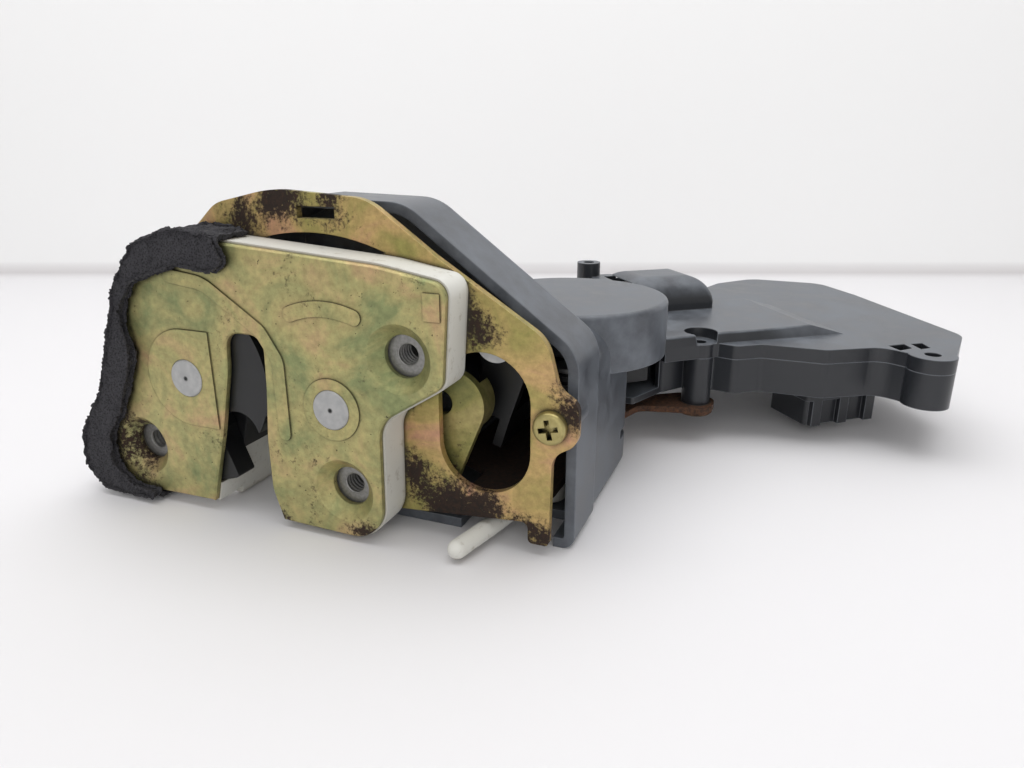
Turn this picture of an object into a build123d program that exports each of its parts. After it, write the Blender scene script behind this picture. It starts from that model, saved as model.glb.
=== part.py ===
"""Power door latch: fork latch, lever plate, lever housing and lock actuator.

Millimetres. X runs along the latch face, Y from the latch face back into the door, Z up.
The origin is on the flat foot of the lever housing.
"""
from build123d import *
import os
from math import acos, atan2, cos, degrees, pi, radians, sin, sqrt, tan

os.makedirs("parts", exist_ok=True)

# ---------------------------------------------------------------- fits
RUN_FIT = 0.05      # radial clearance of a part that turns on a pin
SEAT = 0.05         # clearance of a part that is staked, pressed or clipped in
SIDE = 0.3          # side clearance of moving parts

# ---------------------------------------------------------------- latch stack along Y
FACE_FRONT = -39.6
FACE_T = 1.6
BODY_DEPTH = 8.0
BODY_FLOOR = 2.0
BASE_T = 1.8
BODY_FRONT = FACE_FRONT + FACE_T
BASE_FRONT = BODY_FRONT + BODY_DEPTH
BASE_BACK = BASE_FRONT + BASE_T
CAVITY_BACK = BASE_FRONT - BODY_FLOOR

# ---------------------------------------------------------------- latch layout in X, Z
FORK_AXIS = (-60.4, 33.1)
PAWL_AXIS = (-22.2, 30.7)
FIXING_HOLES = [(-5.8, 43.3), (-20.7, 12.2), (-77.2, 14.0)]
SLOT_TOP = 44.8


def front_plane(y):
    """Plane at depth y that faces the striker: its local x, y are X, Z."""
    return Plane.XZ.offset(-y)


def on_plane(y, points):
    """Locations at depth y of (X, Z) points, each facing the striker."""
    return [front_plane(y).location * Pos(x, z) for x, z in points]


def profile(corners):
    """Closed outline through corners, each (x, y, fillet radius)."""
    with BuildSketch() as shape:
        with BuildLine():
            FilletPolyline(*[(x, y) for x, y, r in corners], radius=[r for x, y, r in corners], close=True)
        make_face()
    return shape.sketch


def polar(centre, radius, angle):
    """Point at radius and angle (degrees) from a centre."""
    return (centre[0] + radius * cos(radians(angle)), centre[1] + radius * sin(radians(angle)))


def sector(centre, radius, start, end):
    """Pie slice between two angles."""
    with BuildSketch() as shape:
        with BuildLine():
            arc = CenterArc(centre, radius, start, end - start)
            Line(centre, arc @ 0)
            Line(arc @ 1, centre)
        make_face()
    return shape.sketch


def disc(centre, radius):
    """Round face on a centre."""
    with BuildSketch() as shape:
        with Locations(centre):
            Circle(radius)
    return shape.sketch


# ---------------------------------------------------------------- outlines of the latch
FACE_CORNERS = [
    (-56.0, 64.6, 8),
    (-10.0, 61.4, 40),
    (5.0, 58.8, 3.2),
    (3.6, 38.4, 3.5),
    (-11.2, 29.0, 7),
    (-11.8, 1.2, 8),
    (-36.5, 1.7, 4),
    (-59.0, 2.8, 4),
    (-90.5, 2.2, 7),
    (-90.5, 14.0, 9),
    (-80.5, 32.0, 12),
    (-75.0, 53.0, 10),
]
SLOT_CORNERS = [
    (-60.2, -6.0, 0),
    (-52.4, 21.2, 20),
    (-48.9, 36.0, 20),
    (-48.2, SLOT_TOP, 3.6),
    (-38.4, SLOT_TOP, 3.4),
    (-38.9, 33.0, 30),
    (-40.1, 21.0, 30),
    (-40.1, 9.0, 8),
    (-35.4, -6.0, 0),
]
face_outline = profile(FACE_CORNERS)
striker_slot = profile(SLOT_CORNERS)

BASE_CORNERS = [
    (-72.0, 56.0, 8),
    (-63.5, 64.0, 6),
    (-55.4, 71.0, 9),
    (-40.0, 74.4, 30),
    (-17.0, 73.0, 12),
    (-2.0, 62.4, 20),
    (21.6, 47.6, 8),
    (24.2, 37.8, 4),
    (28.4, 35.0, 3),
    (28.4, 26.6, 4),
    (23.0, 23.6, 5),
    (22.6, 2.7, 1),
    (18.0, 2.7, 1),
    (17.9, 7.6, 1.5),
    (-10.0, 5.2, 6),
    (-34.0, 3.6, 3),
    (-88.5, 3.6, 6),
    (-88.5, 14.0, 8),
    (-79.0, 32.0, 12),
]
base_outline = profile(BASE_CORNERS)

# ================================================================ face plate
DIMPLE_R = 7.2
DIMPLE_HOLE_R = 4.5
DIMPLE_DEPTH = DIMPLE_R - DIMPLE_HOLE_R
CUP_LIP = 1.2
CUP_R = DIMPLE_R - FACE_T + FACE_T * sqrt(2)
CUP_DEPTH = DIMPLE_DEPTH + CUP_LIP
BEAD_H = 0.35
PIN_HEAD_R = 4.35
PAWL_RING_R = 6.8
BROW_BEAD = [(-61.5, 56.2), (-52.5, 55.2), (-38.5, 46.0), (-34.7, 40.0), (-34.7, 23.5)]

with BuildPart() as face_plate:
    with BuildSketch(front_plane(FACE_FRONT)):
        add(face_outline)
        add(striker_slot, mode=Mode.SUBTRACT)
    extrude(amount=-FACE_T)
    chamfer(face_plate.faces().sort_by(Axis.Y)[0].outer_wire().edges(), 0.4)
    # coined beads: D pad round the fork pin, ring round the pawl pin, stiffening beads
    with BuildSketch(front_plane(FACE_FRONT)):
        add(sector(FORK_AXIS, 11.3, 90, 270))
        with Locations((FORK_AXIS[0] + 3.7, FORK_AXIS[1])):
            Rectangle(7.6, 22.6)
        with Locations(PAWL_AXIS):
            Circle(PAWL_RING_R)
        with BuildLine() as brow:
            FilletPolyline(*BROW_BEAD, radius=[9, 4, 4])
        SlotArc(brow.wires()[0], 3.0)
        with BuildLine() as arc_bead:
            CenterArc(PAWL_AXIS, 21.4, 71, 42)
        SlotArc(arc_bead.wires()[0], 3.2)
        with Locations((2.0, 54.4)):
            Rectangle(3.6, 5.4)
    extrude(amount=BEAD_H)
    # dished screw seats
    with Locations(*on_plane(FACE_FRONT + FACE_T, FIXING_HOLES)):
        Cone(CUP_R - CUP_DEPTH + FACE_T, CUP_R, CUP_DEPTH - FACE_T,
             align=(Align.CENTER, Align.CENTER, Align.MAX))
    with Locations(*on_plane(FACE_FRONT, FIXING_HOLES)):
        CounterSinkHole(DIMPLE_HOLE_R, DIMPLE_R, depth=2 * CUP_DEPTH, counter_sink_angle=90)
    with Locations(*on_plane(FACE_FRONT - BEAD_H, (FORK_AXIS, PAWL_AXIS))):
        Hole(PIN_HEAD_R + SEAT, depth=3 * FACE_T)
face_plate.part.label = "face_plate"
export_step(face_plate.part, "parts/face_plate.step")

# ================================================================ pivot pins of the latch
PIN_SHOULDER_R = 5.4
PIN_TAIL_R = 3.4
PIN_TAIL_HEAD_R = 5.0
PIN_TAIL_HEAD_H = 1.4
PIN_PROUD = 0.3


def pivot_pin():
    """Shouldered pin staked in the face plate and riveted behind the base plate, on the Y axis."""
    with BuildPart() as pin:
        steps = [
            (FACE_FRONT - BEAD_H - PIN_PROUD, BODY_FRONT, PIN_HEAD_R),
            (BODY_FRONT, BASE_FRONT, PIN_SHOULDER_R),
            (BASE_FRONT, BASE_BACK, PIN_TAIL_R),
            (BASE_BACK, BASE_BACK + PIN_TAIL_HEAD_H, PIN_TAIL_HEAD_R),
        ]
        for start, end, radius in steps:
            with BuildSketch(front_plane(start)):
                Circle(radius)
            extrude(amount=start - end)
        chamfer(pin.faces().sort_by(Axis.Y)[0].edges(), 0.25)
    return pin.part


fork_pin = Pos(FORK_AXIS[0], 0, FORK_AXIS[1]) * pivot_pin()
fork_pin.label = "fork_pin"
export_step(fork_pin, "parts/fork_pin.step")
pawl_pin = Pos(PAWL_AXIS[0], 0, PAWL_AXIS[1]) * pivot_pin()
pawl_pin.label = "pawl_pin"
export_step(pawl_pin, "parts/pawl_pin.step")

# ================================================================ fork and pawl
FORK_SWING = 68.0
FORK_FRONT = BODY_FRONT + SIDE
FORK_BACK = CAVITY_BACK - SIDE
FORK_T = FORK_BACK - FORK_FRONT
STRIKER_R = 4.75
STRIKER_AT = (-44.3, 38.6)          # where the fork holds the striker, latch shut
THROAT_R = STRIKER_R + 0.85
FORK_HUB_R = 11.0
FORK_RIM_R = 20.4
FORK_TOOTH_R = 26.5
FORK_HOOK_R = 25.6
TOOTH_AT = 47.6                      # angle of the fully latched tooth, latch shut
TOOTH_W = 5.0
HALF_LATCH = 20.0
LAST_TOOTH_AT = TOOTH_AT + HALF_LATCH + TOOTH_W
FORK_RECESS_R = 8.8
FORK_RECESS = 2.2

throat_reach = (STRIKER_AT[0] - FORK_AXIS[0], STRIKER_AT[1] - FORK_AXIS[1])
# the fork is drawn about its own axis in the shut position, then turned back to open
with BuildPart() as fork:
    with BuildSketch(front_plane(FORK_FRONT)):
        Circle(FORK_HUB_R)
        add(sector((0, 0), FORK_RIM_R, 20, 118))
        add(sector((0, 0), FORK_HOOK_R, -44, 2))
        add(sector((0, 0), FORK_TOOTH_R, TOOTH_AT, TOOTH_AT + TOOTH_W))
        add(sector((0, 0), FORK_TOOTH_R, TOOTH_AT + HALF_LATCH, TOOTH_AT + HALF_LATCH + TOOTH_W))
        with Locations(throat_reach):
            Circle(THROAT_R, mode=Mode.SUBTRACT)
        with Locations((throat_reach[0] + FORK_TOOTH_R / 2, throat_reach[1])):
            Rectangle(FORK_TOOTH_R, 2 * THROAT_R, mode=Mode.SUBTRACT)
        Circle(PIN_SHOULDER_R + RUN_FIT, mode=Mode.SUBTRACT)
    extrude(amount=-FORK_T)
    fillet(fork.edges().filter_by(Axis.Y).filter_by_position(Axis.X, 18, 30), 0.8)
    with BuildSketch(front_plane(FORK_BACK)):
        Circle(FORK_RECESS_R)
    extrude(amount=FORK_RECESS, mode=Mode.SUBTRACT)
fork_open = Pos(FORK_AXIS[0], 0, FORK_AXIS[1]) * Rot(0, FORK_SWING, 0) * fork.part
fork_open.label = "fork"
export_step(fork_open, "parts/fork.step")

# ================================================================ pawl
# drawn engaged, hooked in front of a fork tooth, then lifted clear
PAWL_SWING = 13.5
PAWL_HUB_R = 7.2
HOOK_R = FORK_RIM_R + 0.6
HOOK_FROM = 38.5
HOOK_TO = TOOTH_AT - 0.2
BACK_R = 31.5
UNDERSIDE_R = FORK_TOOTH_R + 0.8
STUD_REACH = 8.6
STUD_ANGLE = -80.0                   # pawl lifted
STUD_R = 1.8
STUD_BOSS_R = 2.4
STUD_BACK = BASE_BACK + 4.0
stud_at = polar(PAWL_AXIS, STUD_REACH, STUD_ANGLE)
stud_engaged = polar(PAWL_AXIS, STUD_REACH, STUD_ANGLE + PAWL_SWING)

with BuildSketch() as pawl_outline:
    with BuildLine():
        Polyline(
            polar(FORK_AXIS, UNDERSIDE_R + 7.5, 26),
            polar(FORK_AXIS, BACK_R, HOOK_TO),
            polar(FORK_AXIS, HOOK_R, HOOK_TO),
            polar(FORK_AXIS, HOOK_R, HOOK_FROM),
            polar(FORK_AXIS, UNDERSIDE_R, HOOK_FROM - 2.5),
            polar(FORK_AXIS, UNDERSIDE_R - 6, 10),
            polar(PAWL_AXIS, PAWL_HUB_R, 212),
            polar(PAWL_AXIS, PAWL_HUB_R, 50),
            close=True,
        )
    make_face()
    add(sector(FORK_AXIS, UNDERSIDE_R, -25, HOOK_FROM - 2.5), mode=Mode.SUBTRACT)
    with Locations(PAWL_AXIS):
        Circle(PAWL_HUB_R)
    with Locations(stud_engaged):
        Circle(STUD_BOSS_R)

with BuildPart() as pawl:
    with BuildSketch(front_plane(FORK_FRONT)):
        add(pawl_outline.sketch)
        with Locations(PAWL_AXIS):
            Circle(PIN_SHOULDER_R + RUN_FIT, mode=Mode.SUBTRACT)
    extrude(amount=-FORK_T)
    with BuildSketch(front_plane(FORK_BACK)):
        with Locations(stud_engaged):
            Circle(STUD_R)
    extrude(amount=-(STUD_BACK - FORK_BACK))
to_pawl_axis = Pos(PAWL_AXIS[0], 0, PAWL_AXIS[1])
pawl_lifted = to_pawl_axis * Rot(0, PAWL_SWING, 0) * to_pawl_axis.inverse() * pawl.part
pawl_lifted.label = "pawl"
export_step(pawl_lifted, "parts/pawl.step")

# ================================================================ latch body
BODY_LIP = 0.4
SLOT_LIP = 0.4
TUNNEL_WALL = 2.0
TUNNEL_BACK = -17.0
TUNNEL_END = -15.4
FLOOR_CLEAR = 0.5                    # lowest edge above the surface the latch lies on
CAVITY_GAP = 0.7
BUSH_R = 4.9
BUSH_FRONT = FACE_FRONT + CUP_DEPTH + 0.4
BUSH_SHANK_R = 4.0
BUSH_BORE_R = 2.55
FOAM_GAP = 0.35

body_outline = offset(face_outline, amount=BODY_LIP)
body_slot = offset(striker_slot, amount=-SLOT_LIP)
below_floor = Pos(-45, -50 + FLOOR_CLEAR) * Rectangle(120, 100)
tunnel_outline = offset(body_slot, amount=TUNNEL_WALL) - below_floor
base_slot = offset(body_slot, amount=TUNNEL_WALL + SEAT)
pawl_room = Pos(-PAWL_AXIS[0], -PAWL_AXIS[1]) * offset(pawl_outline.sketch, amount=CAVITY_GAP)
stud_slot = sector(PAWL_AXIS, STUD_REACH + STUD_R + 0.5, STUD_ANGLE - 15, STUD_ANGLE + 28)

with BuildPart() as latch_body:
    with BuildSketch(front_plane(BODY_FRONT)):
        add(body_outline)
    extrude(amount=-BODY_DEPTH)
    with BuildSketch(front_plane(BASE_FRONT)):
        add(tunnel_outline)
    extrude(amount=-(TUNNEL_END - BASE_FRONT))
    with BuildSketch(front_plane(BODY_FRONT)):
        add(body_slot)
    extrude(amount=-(TUNNEL_BACK - BODY_FRONT), mode=Mode.SUBTRACT)
    # room swept by the fork and the pawl
    with BuildSketch(front_plane(BODY_FRONT)):
        add(disc(FORK_AXIS, FORK_HUB_R + CAVITY_GAP))
        add(sector(FORK_AXIS, FORK_HOOK_R + CAVITY_GAP, -46 - FORK_SWING, 4))
        add(sector(FORK_AXIS, FORK_TOOTH_R + CAVITY_GAP, TOOTH_AT - FORK_SWING - 3, LAST_TOOTH_AT + 3))
        add(sector(FORK_AXIS, FORK_RIM_R + CAVITY_GAP, -20, 121))
        for share in (0, 0.25, 0.5, 0.75, 1):
            add(Pos(*PAWL_AXIS) * Rot(0, 0, -share * PAWL_SWING) * pawl_room)
    extrude(amount=-(CAVITY_BACK - BODY_FRONT), mode=Mode.SUBTRACT)
    # holes for the pins, the dished seats with their bushes, and the pawl stud
    with BuildSketch(front_plane(BODY_FRONT)):
        for axis in (FORK_AXIS, PAWL_AXIS):
            add(disc(axis, PIN_SHOULDER_R + SEAT))
        for hole in FIXING_HOLES:
            add(disc(hole, BUSH_R + SEAT))
        add(stud_slot)
    extrude(amount=-BODY_DEPTH, mode=Mode.SUBTRACT)
    with Locations(*on_plane(BODY_FRONT, FIXING_HOLES)):
        Cylinder(CUP_R + SEAT, CUP_DEPTH - FACE_T + SEAT,
                 align=(Align.CENTER, Align.CENTER, Align.MAX), mode=Mode.SUBTRACT)
latch_body.part.label = "latch_body"
export_step(latch_body.part, "parts/latch_body.step")

# ================================================================ threaded bushes
with BuildPart() as bushes:
    for x, z in FIXING_HOLES:
        with BuildSketch(front_plane(BUSH_FRONT)):
            with Locations((x, z)):
                Circle(BUSH_R)
        extrude(amount=-(BASE_FRONT - BUSH_FRONT))
        with BuildSketch(front_plane(BASE_FRONT)):
            with Locations((x, z)):
                Circle(BUSH_SHANK_R)
        extrude(amount=-BASE_T)
        with BuildSketch(front_plane(BUSH_FRONT)):
            with Locations((x, z)):
                Circle(BUSH_BORE_R)
        extrude(amount=-(BASE_BACK - BUSH_FRONT), mode=Mode.SUBTRACT)
bushes.part.label = "threaded_bushes"
export_step(bushes.part, "parts/threaded_bushes.step")

# ================================================================ base plate with its rear flange
WINDOW_AT = (8.1, 28.3)
WINDOW_W = 20.6
WINDOW_H = 31.0
TAG_SLOT_AT = (-29.3, 69.8)
TAG_SLOT_W = 9.3
TAG_SLOT_H = 2.5
BROW_CUT = [(-47.0, 63.0), (-31.0, 65.7), (-13.0, 62.4)]   # sight cut above the latch body
SHELF_TOP = 11.0
SHELF_T = 1.8
SECTOR_AXIS = (10.0, 23.0)
BOSS1_AT = (40.5, 50.0)
BASE_SCREW_AT = (22.8, 30.0)
SCREW_SHANK_R = 2.0
BOSS_RIVET_R = 1.6
LEVER_AXIS = (-7.0, 10.0)
LEVER_PIN_R = 3.0
SHELF_CORNERS = [
    (2.5, BASE_BACK - 0.6, 0),
    (17.5, BASE_BACK - 0.6, 0),
    (20.5, -20.0, 4),
    (21.0, 24.0, 6),
    (26.0, 40.0, 4),
    (36.0, 42.5, 3),
    (45.5, 44.0, 4),
    (46.0, 55.0, 5),
    (36.0, 56.5, 5),
    (24.0, 48.0, 8),
    (-8.0, 40.0, 10),
    (-8.0, -10.0, 6),
    (2.5, -16.0, 4),
]

with BuildSketch() as brow_cut:
    with BuildLine():
        brow_edge = ThreePointArc(*BROW_CUT)
        Polyline(brow_edge @ 1, (-20.0, 60.4), (-40.0, 61.6), brow_edge @ 0)
    make_face()

with BuildPart() as base_plate:
    with BuildSketch(front_plane(BASE_FRONT)):
        add(base_outline)
        add(base_slot, mode=Mode.SUBTRACT)
        with Locations(WINDOW_AT):
            SlotOverall(WINDOW_H, WINDOW_W, rotation=90, mode=Mode.SUBTRACT)
        with Locations(TAG_SLOT_AT):
            Rectangle(TAG_SLOT_W, TAG_SLOT_H, mode=Mode.SUBTRACT)
        add(brow_cut.sketch, mode=Mode.SUBTRACT)
        for axis in (FORK_AXIS, PAWL_AXIS):
            add(disc(axis, PIN_TAIL_R + SEAT), mode=Mode.SUBTRACT)
        for hole in FIXING_HOLES:
            add(disc(hole, BUSH_SHANK_R + SEAT), mode=Mode.SUBTRACT)
        add(disc(BASE_SCREW_AT, SCREW_SHANK_R + SEAT), mode=Mode.SUBTRACT)
        add(stud_slot, mode=Mode.SUBTRACT)
    extrude(amount=-BASE_T)
    with BuildSketch(Plane.XY.offset(SHELF_TOP)):
        add(profile(SHELF_CORNERS))
        add(disc(BOSS1_AT, BOSS_RIVET_R + SEAT), mode=Mode.SUBTRACT)
    extrude(amount=-SHELF_T)
base_plate.part.label = "base_plate"
export_step(base_plate.part, "parts/base_plate.step")

# ================================================================ foam seal
FOAM_FRONT = -43.0
FOAM_BACK = BASE_FRONT - 1.0
FOAM_OUTER = [
    (-47.0, 66.8, 2),
    (-57.0, 67.6, 8),
    (-69.0, 63.4, 6),
    (-76.5, 53.0, 6),
    (-86.0, 28.0, 8),
    (-94.8, 16.0, 5),
    (-95.0, 6.0, 5),
    (-89.0, 1.0, 4),
    (-74.0, 0.9, 1),
    (-72.0, 3.6, 1),
    (-80.0, 4.6, 3),
    (-85.0, 9.0, 3),
    (-84.4, 17.0, 3),
    (-80.2, 22.0, 3),
    (-73.6, 37.0, 8),
    (-75.3, 47.0, 3),
    (-70.5, 54.0, 3),
    (-57.0, 58.6, 3),
    (-47.6, 57.4, 1),
    (-43.8, 60.4, 1.5),
]
foam_outline = profile(FOAM_OUTER)
foam_clear = offset(body_outline, amount=FOAM_GAP)
foam_skirt = foam_outline - foam_clear

with BuildPart() as foam_seal:
    with BuildSketch(front_plane(FOAM_FRONT)):
        add(foam_outline)
    extrude(amount=-(FACE_FRONT - FOAM_GAP - FOAM_FRONT))
    with BuildSketch(front_plane(FACE_FRONT - FOAM_GAP)):
        add(foam_skirt)
    extrude(amount=-(FOAM_BACK - FACE_FRONT + FOAM_GAP))
foam_seal.part.label = "foam_seal"
export_step(foam_seal.part, "parts/foam_seal.step")

# ================================================================ striker bumper
BUMPER_H = 3.0
BUMPER_FRONT = BASE_FRONT - BODY_FLOOR + 1.2

bumper_room = offset(body_slot, amount=-SEAT)
with BuildPart() as bumper:
    with BuildSketch(front_plane(BUMPER_FRONT)):
        with Locations((-43.3, SLOT_TOP - SLOT_LIP - SEAT - BUMPER_H / 2)):
            RectangleRounded(7.6, BUMPER_H, 1.2)
        add(bumper_room, mode=Mode.INTERSECT)
    extrude(amount=-(TUNNEL_BACK - SEAT - BUMPER_FRONT))
bumper.part.label = "striker_bumper"
export_step(bumper.part, "parts/striker_bumper.step")

# ================================================================ opening lever and its pin
LEVER_FRONT = BASE_BACK + PIN_TAIL_HEAD_H + 0.4
LEVER_T = 2.0
LEVER_BACK = LEVER_FRONT + LEVER_T
LEVER_HUB_R = 5.4
LEVER_LOBE_AT = (-1.2, 30.2)
LEVER_LOBE_R = 7.8
LEVER_FLANGE_T = 1.6
LEVER_FLANGE_DEPTH = 6.0
ROD_HOLE_R = 2.8
FINGER_W = 4.0

finger_tip = (stud_at[0] + STUD_R + 0.15, stud_at[1])
with BuildPart() as opening_lever:
    with BuildSketch(front_plane(LEVER_FRONT)):
        with Locations(LEVER_AXIS):
            Circle(LEVER_HUB_R)
        with Locations(LEVER_LOBE_AT):
            Circle(LEVER_LOBE_R)
        make_hull()
        with Locations(((finger_tip[0] + LEVER_LOBE_AT[0]) / 2, finger_tip[1] + 0.4)):
            Rectangle(LEVER_LOBE_AT[0] - finger_tip[0], FINGER_W)
        with Locations(LEVER_AXIS):
            Circle(LEVER_PIN_R + RUN_FIT, mode=Mode.SUBTRACT)
        with Locations((LEVER_LOBE_AT[0] - 2.4, LEVER_LOBE_AT[1] + 0.2)):
            Circle(ROD_HOLE_R, mode=Mode.SUBTRACT)
    extrude(amount=-LEVER_T)
    with BuildSketch(front_plane(LEVER_FRONT)):
        add(sector(LEVER_LOBE_AT, LEVER_LOBE_R, -75, 40))
        add(disc(LEVER_LOBE_AT, LEVER_LOBE_R - LEVER_FLANGE_T), mode=Mode.SUBTRACT)
    extrude(amount=-LEVER_FLANGE_DEPTH)
opening_lever.part.label = "opening_lever"
export_step(opening_lever.part, "parts/opening_lever.step")

with BuildPart() as lever_pin:
    pin_steps = [
        (BASE_BACK, LEVER_FRONT - 0.2, LEVER_PIN_R + 1.4),
        (LEVER_FRONT - 0.2, LEVER_BACK + 0.2, LEVER_PIN_R),
        (LEVER_BACK + 0.2, LEVER_BACK + 1.4, LEVER_PIN_R + 1.4),
    ]
    for start, end, radius in pin_steps:
        with BuildSketch(front_plane(start)):
            with Locations(LEVER_AXIS):
                Circle(radius)
        extrude(amount=start - end)
lever_pin.part.label = "lever_pin"
export_step(lever_pin.part, "parts/lever_pin.step")

# ================================================================ base plate screw
SCREW_HEAD_R = 3.5
SCREW_HEAD_H = 2.2
SCREW_LENGTH = 9.0
CROSS_W = 1.1
CROSS_REACH = 4.2

with BuildPart() as base_screw:
    with Locations(*on_plane(BASE_FRONT, [BASE_SCREW_AT])):
        Cylinder(SCREW_HEAD_R, SCREW_HEAD_H, align=(Align.CENTER, Align.CENTER, Align.MIN))
        Cylinder(SCREW_SHANK_R, SCREW_LENGTH, align=(Align.CENTER, Align.CENTER, Align.MAX))
    fillet(base_screw.faces().sort_by(Axis.Y)[0].edges(), 1.0)
    with BuildSketch(front_plane(BASE_FRONT - SCREW_HEAD_H)):
        with Locations(BASE_SCREW_AT):
            Rectangle(CROSS_REACH, CROSS_W, rotation=12)
            Rectangle(CROSS_W, CROSS_REACH, rotation=12)
    extrude(amount=-1.4, mode=Mode.SUBTRACT)
base_screw.part.label = "base_screw"
export_step(base_screw.part, "parts/base_screw.step")

# ================================================================ lock train layout in X, Y
MODULE = 1.0
PRESSURE = 20.0
SECTOR_TEETH = 52
PINION_TEETH = 20
WHEEL_TEETH = 24
WORM_STARTS = 3
WORM_R = 3.0
WHEEL_BEARING = 89.0                 # direction of the worm wheel seen from the sector axis
MOTOR_TURN = 39.0                    # direction of the motor shaft
GEAR_CENTRES = MODULE * (SECTOR_TEETH + PINION_TEETH) / 2
WHEEL_R = MODULE * WHEEL_TEETH / 2
WHEEL_AXIS = polar(SECTOR_AXIS, GEAR_CENTRES, WHEEL_BEARING)
ADDENDUM = 0.9 * MODULE
DEDENDUM = 1.15 * MODULE
BACKLASH = 0.3
LOCK_SWING = 30.0
WORM_Z = 27.0
WORM_FROM_MOTOR = 22.5
MOTOR_AXIS = polar(polar(WHEEL_AXIS, WHEEL_R + WORM_R, MOTOR_TURN + 90), WORM_FROM_MOTOR, MOTOR_TURN)


def involute(base_r, radius):
    """Angle (radians) that an involute has turned by the time it reaches a radius."""
    pressure = acos(base_r / radius)
    return tan(pressure) - pressure


def tooth(teeth, angle, backlash=BACKLASH):
    """One involute tooth centred at an angle; its foot reaches inside the root circle."""
    pitch_r = MODULE * teeth / 2
    base_r = pitch_r * cos(radians(PRESSURE))
    half_pitch_angle = (pi * MODULE / 2 - backlash) / 2 / pitch_r
    root_r = pitch_r - DEDENDUM
    left = []
    right = []
    for radius in (root_r - 0.4, root_r, pitch_r, pitch_r + ADDENDUM):
        flank_r = max(radius, base_r, root_r)
        spread = half_pitch_angle + involute(base_r, pitch_r) - involute(base_r, flank_r)
        left.append(polar((0, 0), radius, angle + degrees(spread)))
        right.append(polar((0, 0), radius, angle - degrees(spread)))
    with BuildSketch() as shape:
        with BuildLine():
            Polyline(*left, *reversed(right), close=True)
        make_face()
    return shape.sketch


# ================================================================ worm wheel with pinion
PINION_BOTTOM = 18.6
WHEEL_BOTTOM = 24.5
WHEEL_TOP = 29.5
WHEEL_PIN_R = 2.0
WORM_LEAD = pi * MODULE * WORM_STARTS
LEAD_SLOPE = WORM_LEAD / (2 * pi * WORM_R)

with BuildPart() as worm_wheel:
    with BuildSketch(Plane.XY.offset(PINION_BOTTOM)):
        Circle(MODULE * PINION_TEETH / 2 - DEDENDUM)
        for n in range(PINION_TEETH):
            add(tooth(PINION_TEETH, WHEEL_BEARING + 180 + (n + 0.5) * 360 / PINION_TEETH))
    extrude(amount=WHEEL_BOTTOM - PINION_BOTTOM)
wheel_twist = degrees((WHEEL_TOP - WHEEL_BOTTOM) * LEAD_SLOPE / WHEEL_R)
with BuildSketch(Plane.XY.offset(WHEEL_BOTTOM)) as wheel_profile:
    Circle(WHEEL_R - DEDENDUM)
    for n in range(WHEEL_TEETH):
        add(tooth(WHEEL_TEETH, MOTOR_TURN + 90 - wheel_twist / 2 + n * 360 / WHEEL_TEETH))
helical_ring = Solid.extrude_linear_with_rotation(
    wheel_profile.sketch.faces()[0], (0, 0, WHEEL_BOTTOM), (0, 0, WHEEL_TOP - WHEEL_BOTTOM), wheel_twist
)
with BuildPart() as wheel_and_pinion:
    add(worm_wheel.part)
    add(helical_ring)
    with BuildSketch(Plane.XY.offset(PINION_BOTTOM)):
        Circle(WHEEL_PIN_R + RUN_FIT)
    extrude(amount=WHEEL_TOP - PINION_BOTTOM, mode=Mode.SUBTRACT)
wheel = Pos(*WHEEL_AXIS) * wheel_and_pinion.part
wheel.label = "worm_wheel"
export_step(wheel, "parts/worm_wheel.step")

# ================================================================ motor shaft with worm
WORM_LENGTH = 0.7 * WORM_LEAD
WORM_CORE_R = 1.8
WORM_TIP_R = WORM_R + ADDENDUM
SHAFT_R = 1.0
SHAFT_L = 41.8
THREAD_ROOT_W = 1.9
THREAD_TIP_W = 0.75
shaft_plane = Plane(
    origin=(*MOTOR_AXIS, WORM_Z),
    x_dir=(*polar((0, 0), 1, MOTOR_TURN - 90), 0),
    z_dir=(*polar((0, 0), 1, MOTOR_TURN), 0),
)
worm_start = -WORM_FROM_MOTOR - WORM_LENGTH / 2
thread_root_angle = 180 * THREAD_ROOT_W / WORM_LEAD
thread_tip_angle = 180 * THREAD_TIP_W / WORM_LEAD
thread_phase = 180 * (1 - WORM_LENGTH / WORM_LEAD)      # meshes a wheel tooth at mid length
thread_corners = [
    polar((0, 0), radius, 360 * n / WORM_STARTS + thread_phase + angle)
    for n in range(WORM_STARTS)
    for radius, angle in (
        (WORM_CORE_R + 0.2, -thread_root_angle),
        (WORM_TIP_R, -thread_tip_angle),
        (WORM_TIP_R, thread_tip_angle),
        (WORM_CORE_R + 0.2, thread_root_angle),
    )
]
with BuildSketch(Plane.XY.offset(worm_start)) as worm_profile:
    with BuildLine():
        Polyline(*thread_corners, close=True)
    make_face()
threads = Solid.extrude_linear_with_rotation(
    worm_profile.sketch.faces()[0], (0, 0, worm_start), (0, 0, WORM_LENGTH), 360 * WORM_LENGTH / WORM_LEAD
)
with BuildPart() as motor_shaft:
    add(threads)
    with Locations((0, 0, worm_start - 1.2)):
        Cylinder(WORM_CORE_R, WORM_LENGTH + 2.4, align=(Align.CENTER, Align.CENTER, Align.MIN))
    with Locations((0, 0, worm_start - 3.0)):
        Cylinder(SHAFT_R, SHAFT_L, align=(Align.CENTER, Align.CENTER, Align.MIN))
worm = shaft_plane.location * motor_shaft.part
worm.label = "motor_shaft"
export_step(worm, "parts/motor_shaft.step")

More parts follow.
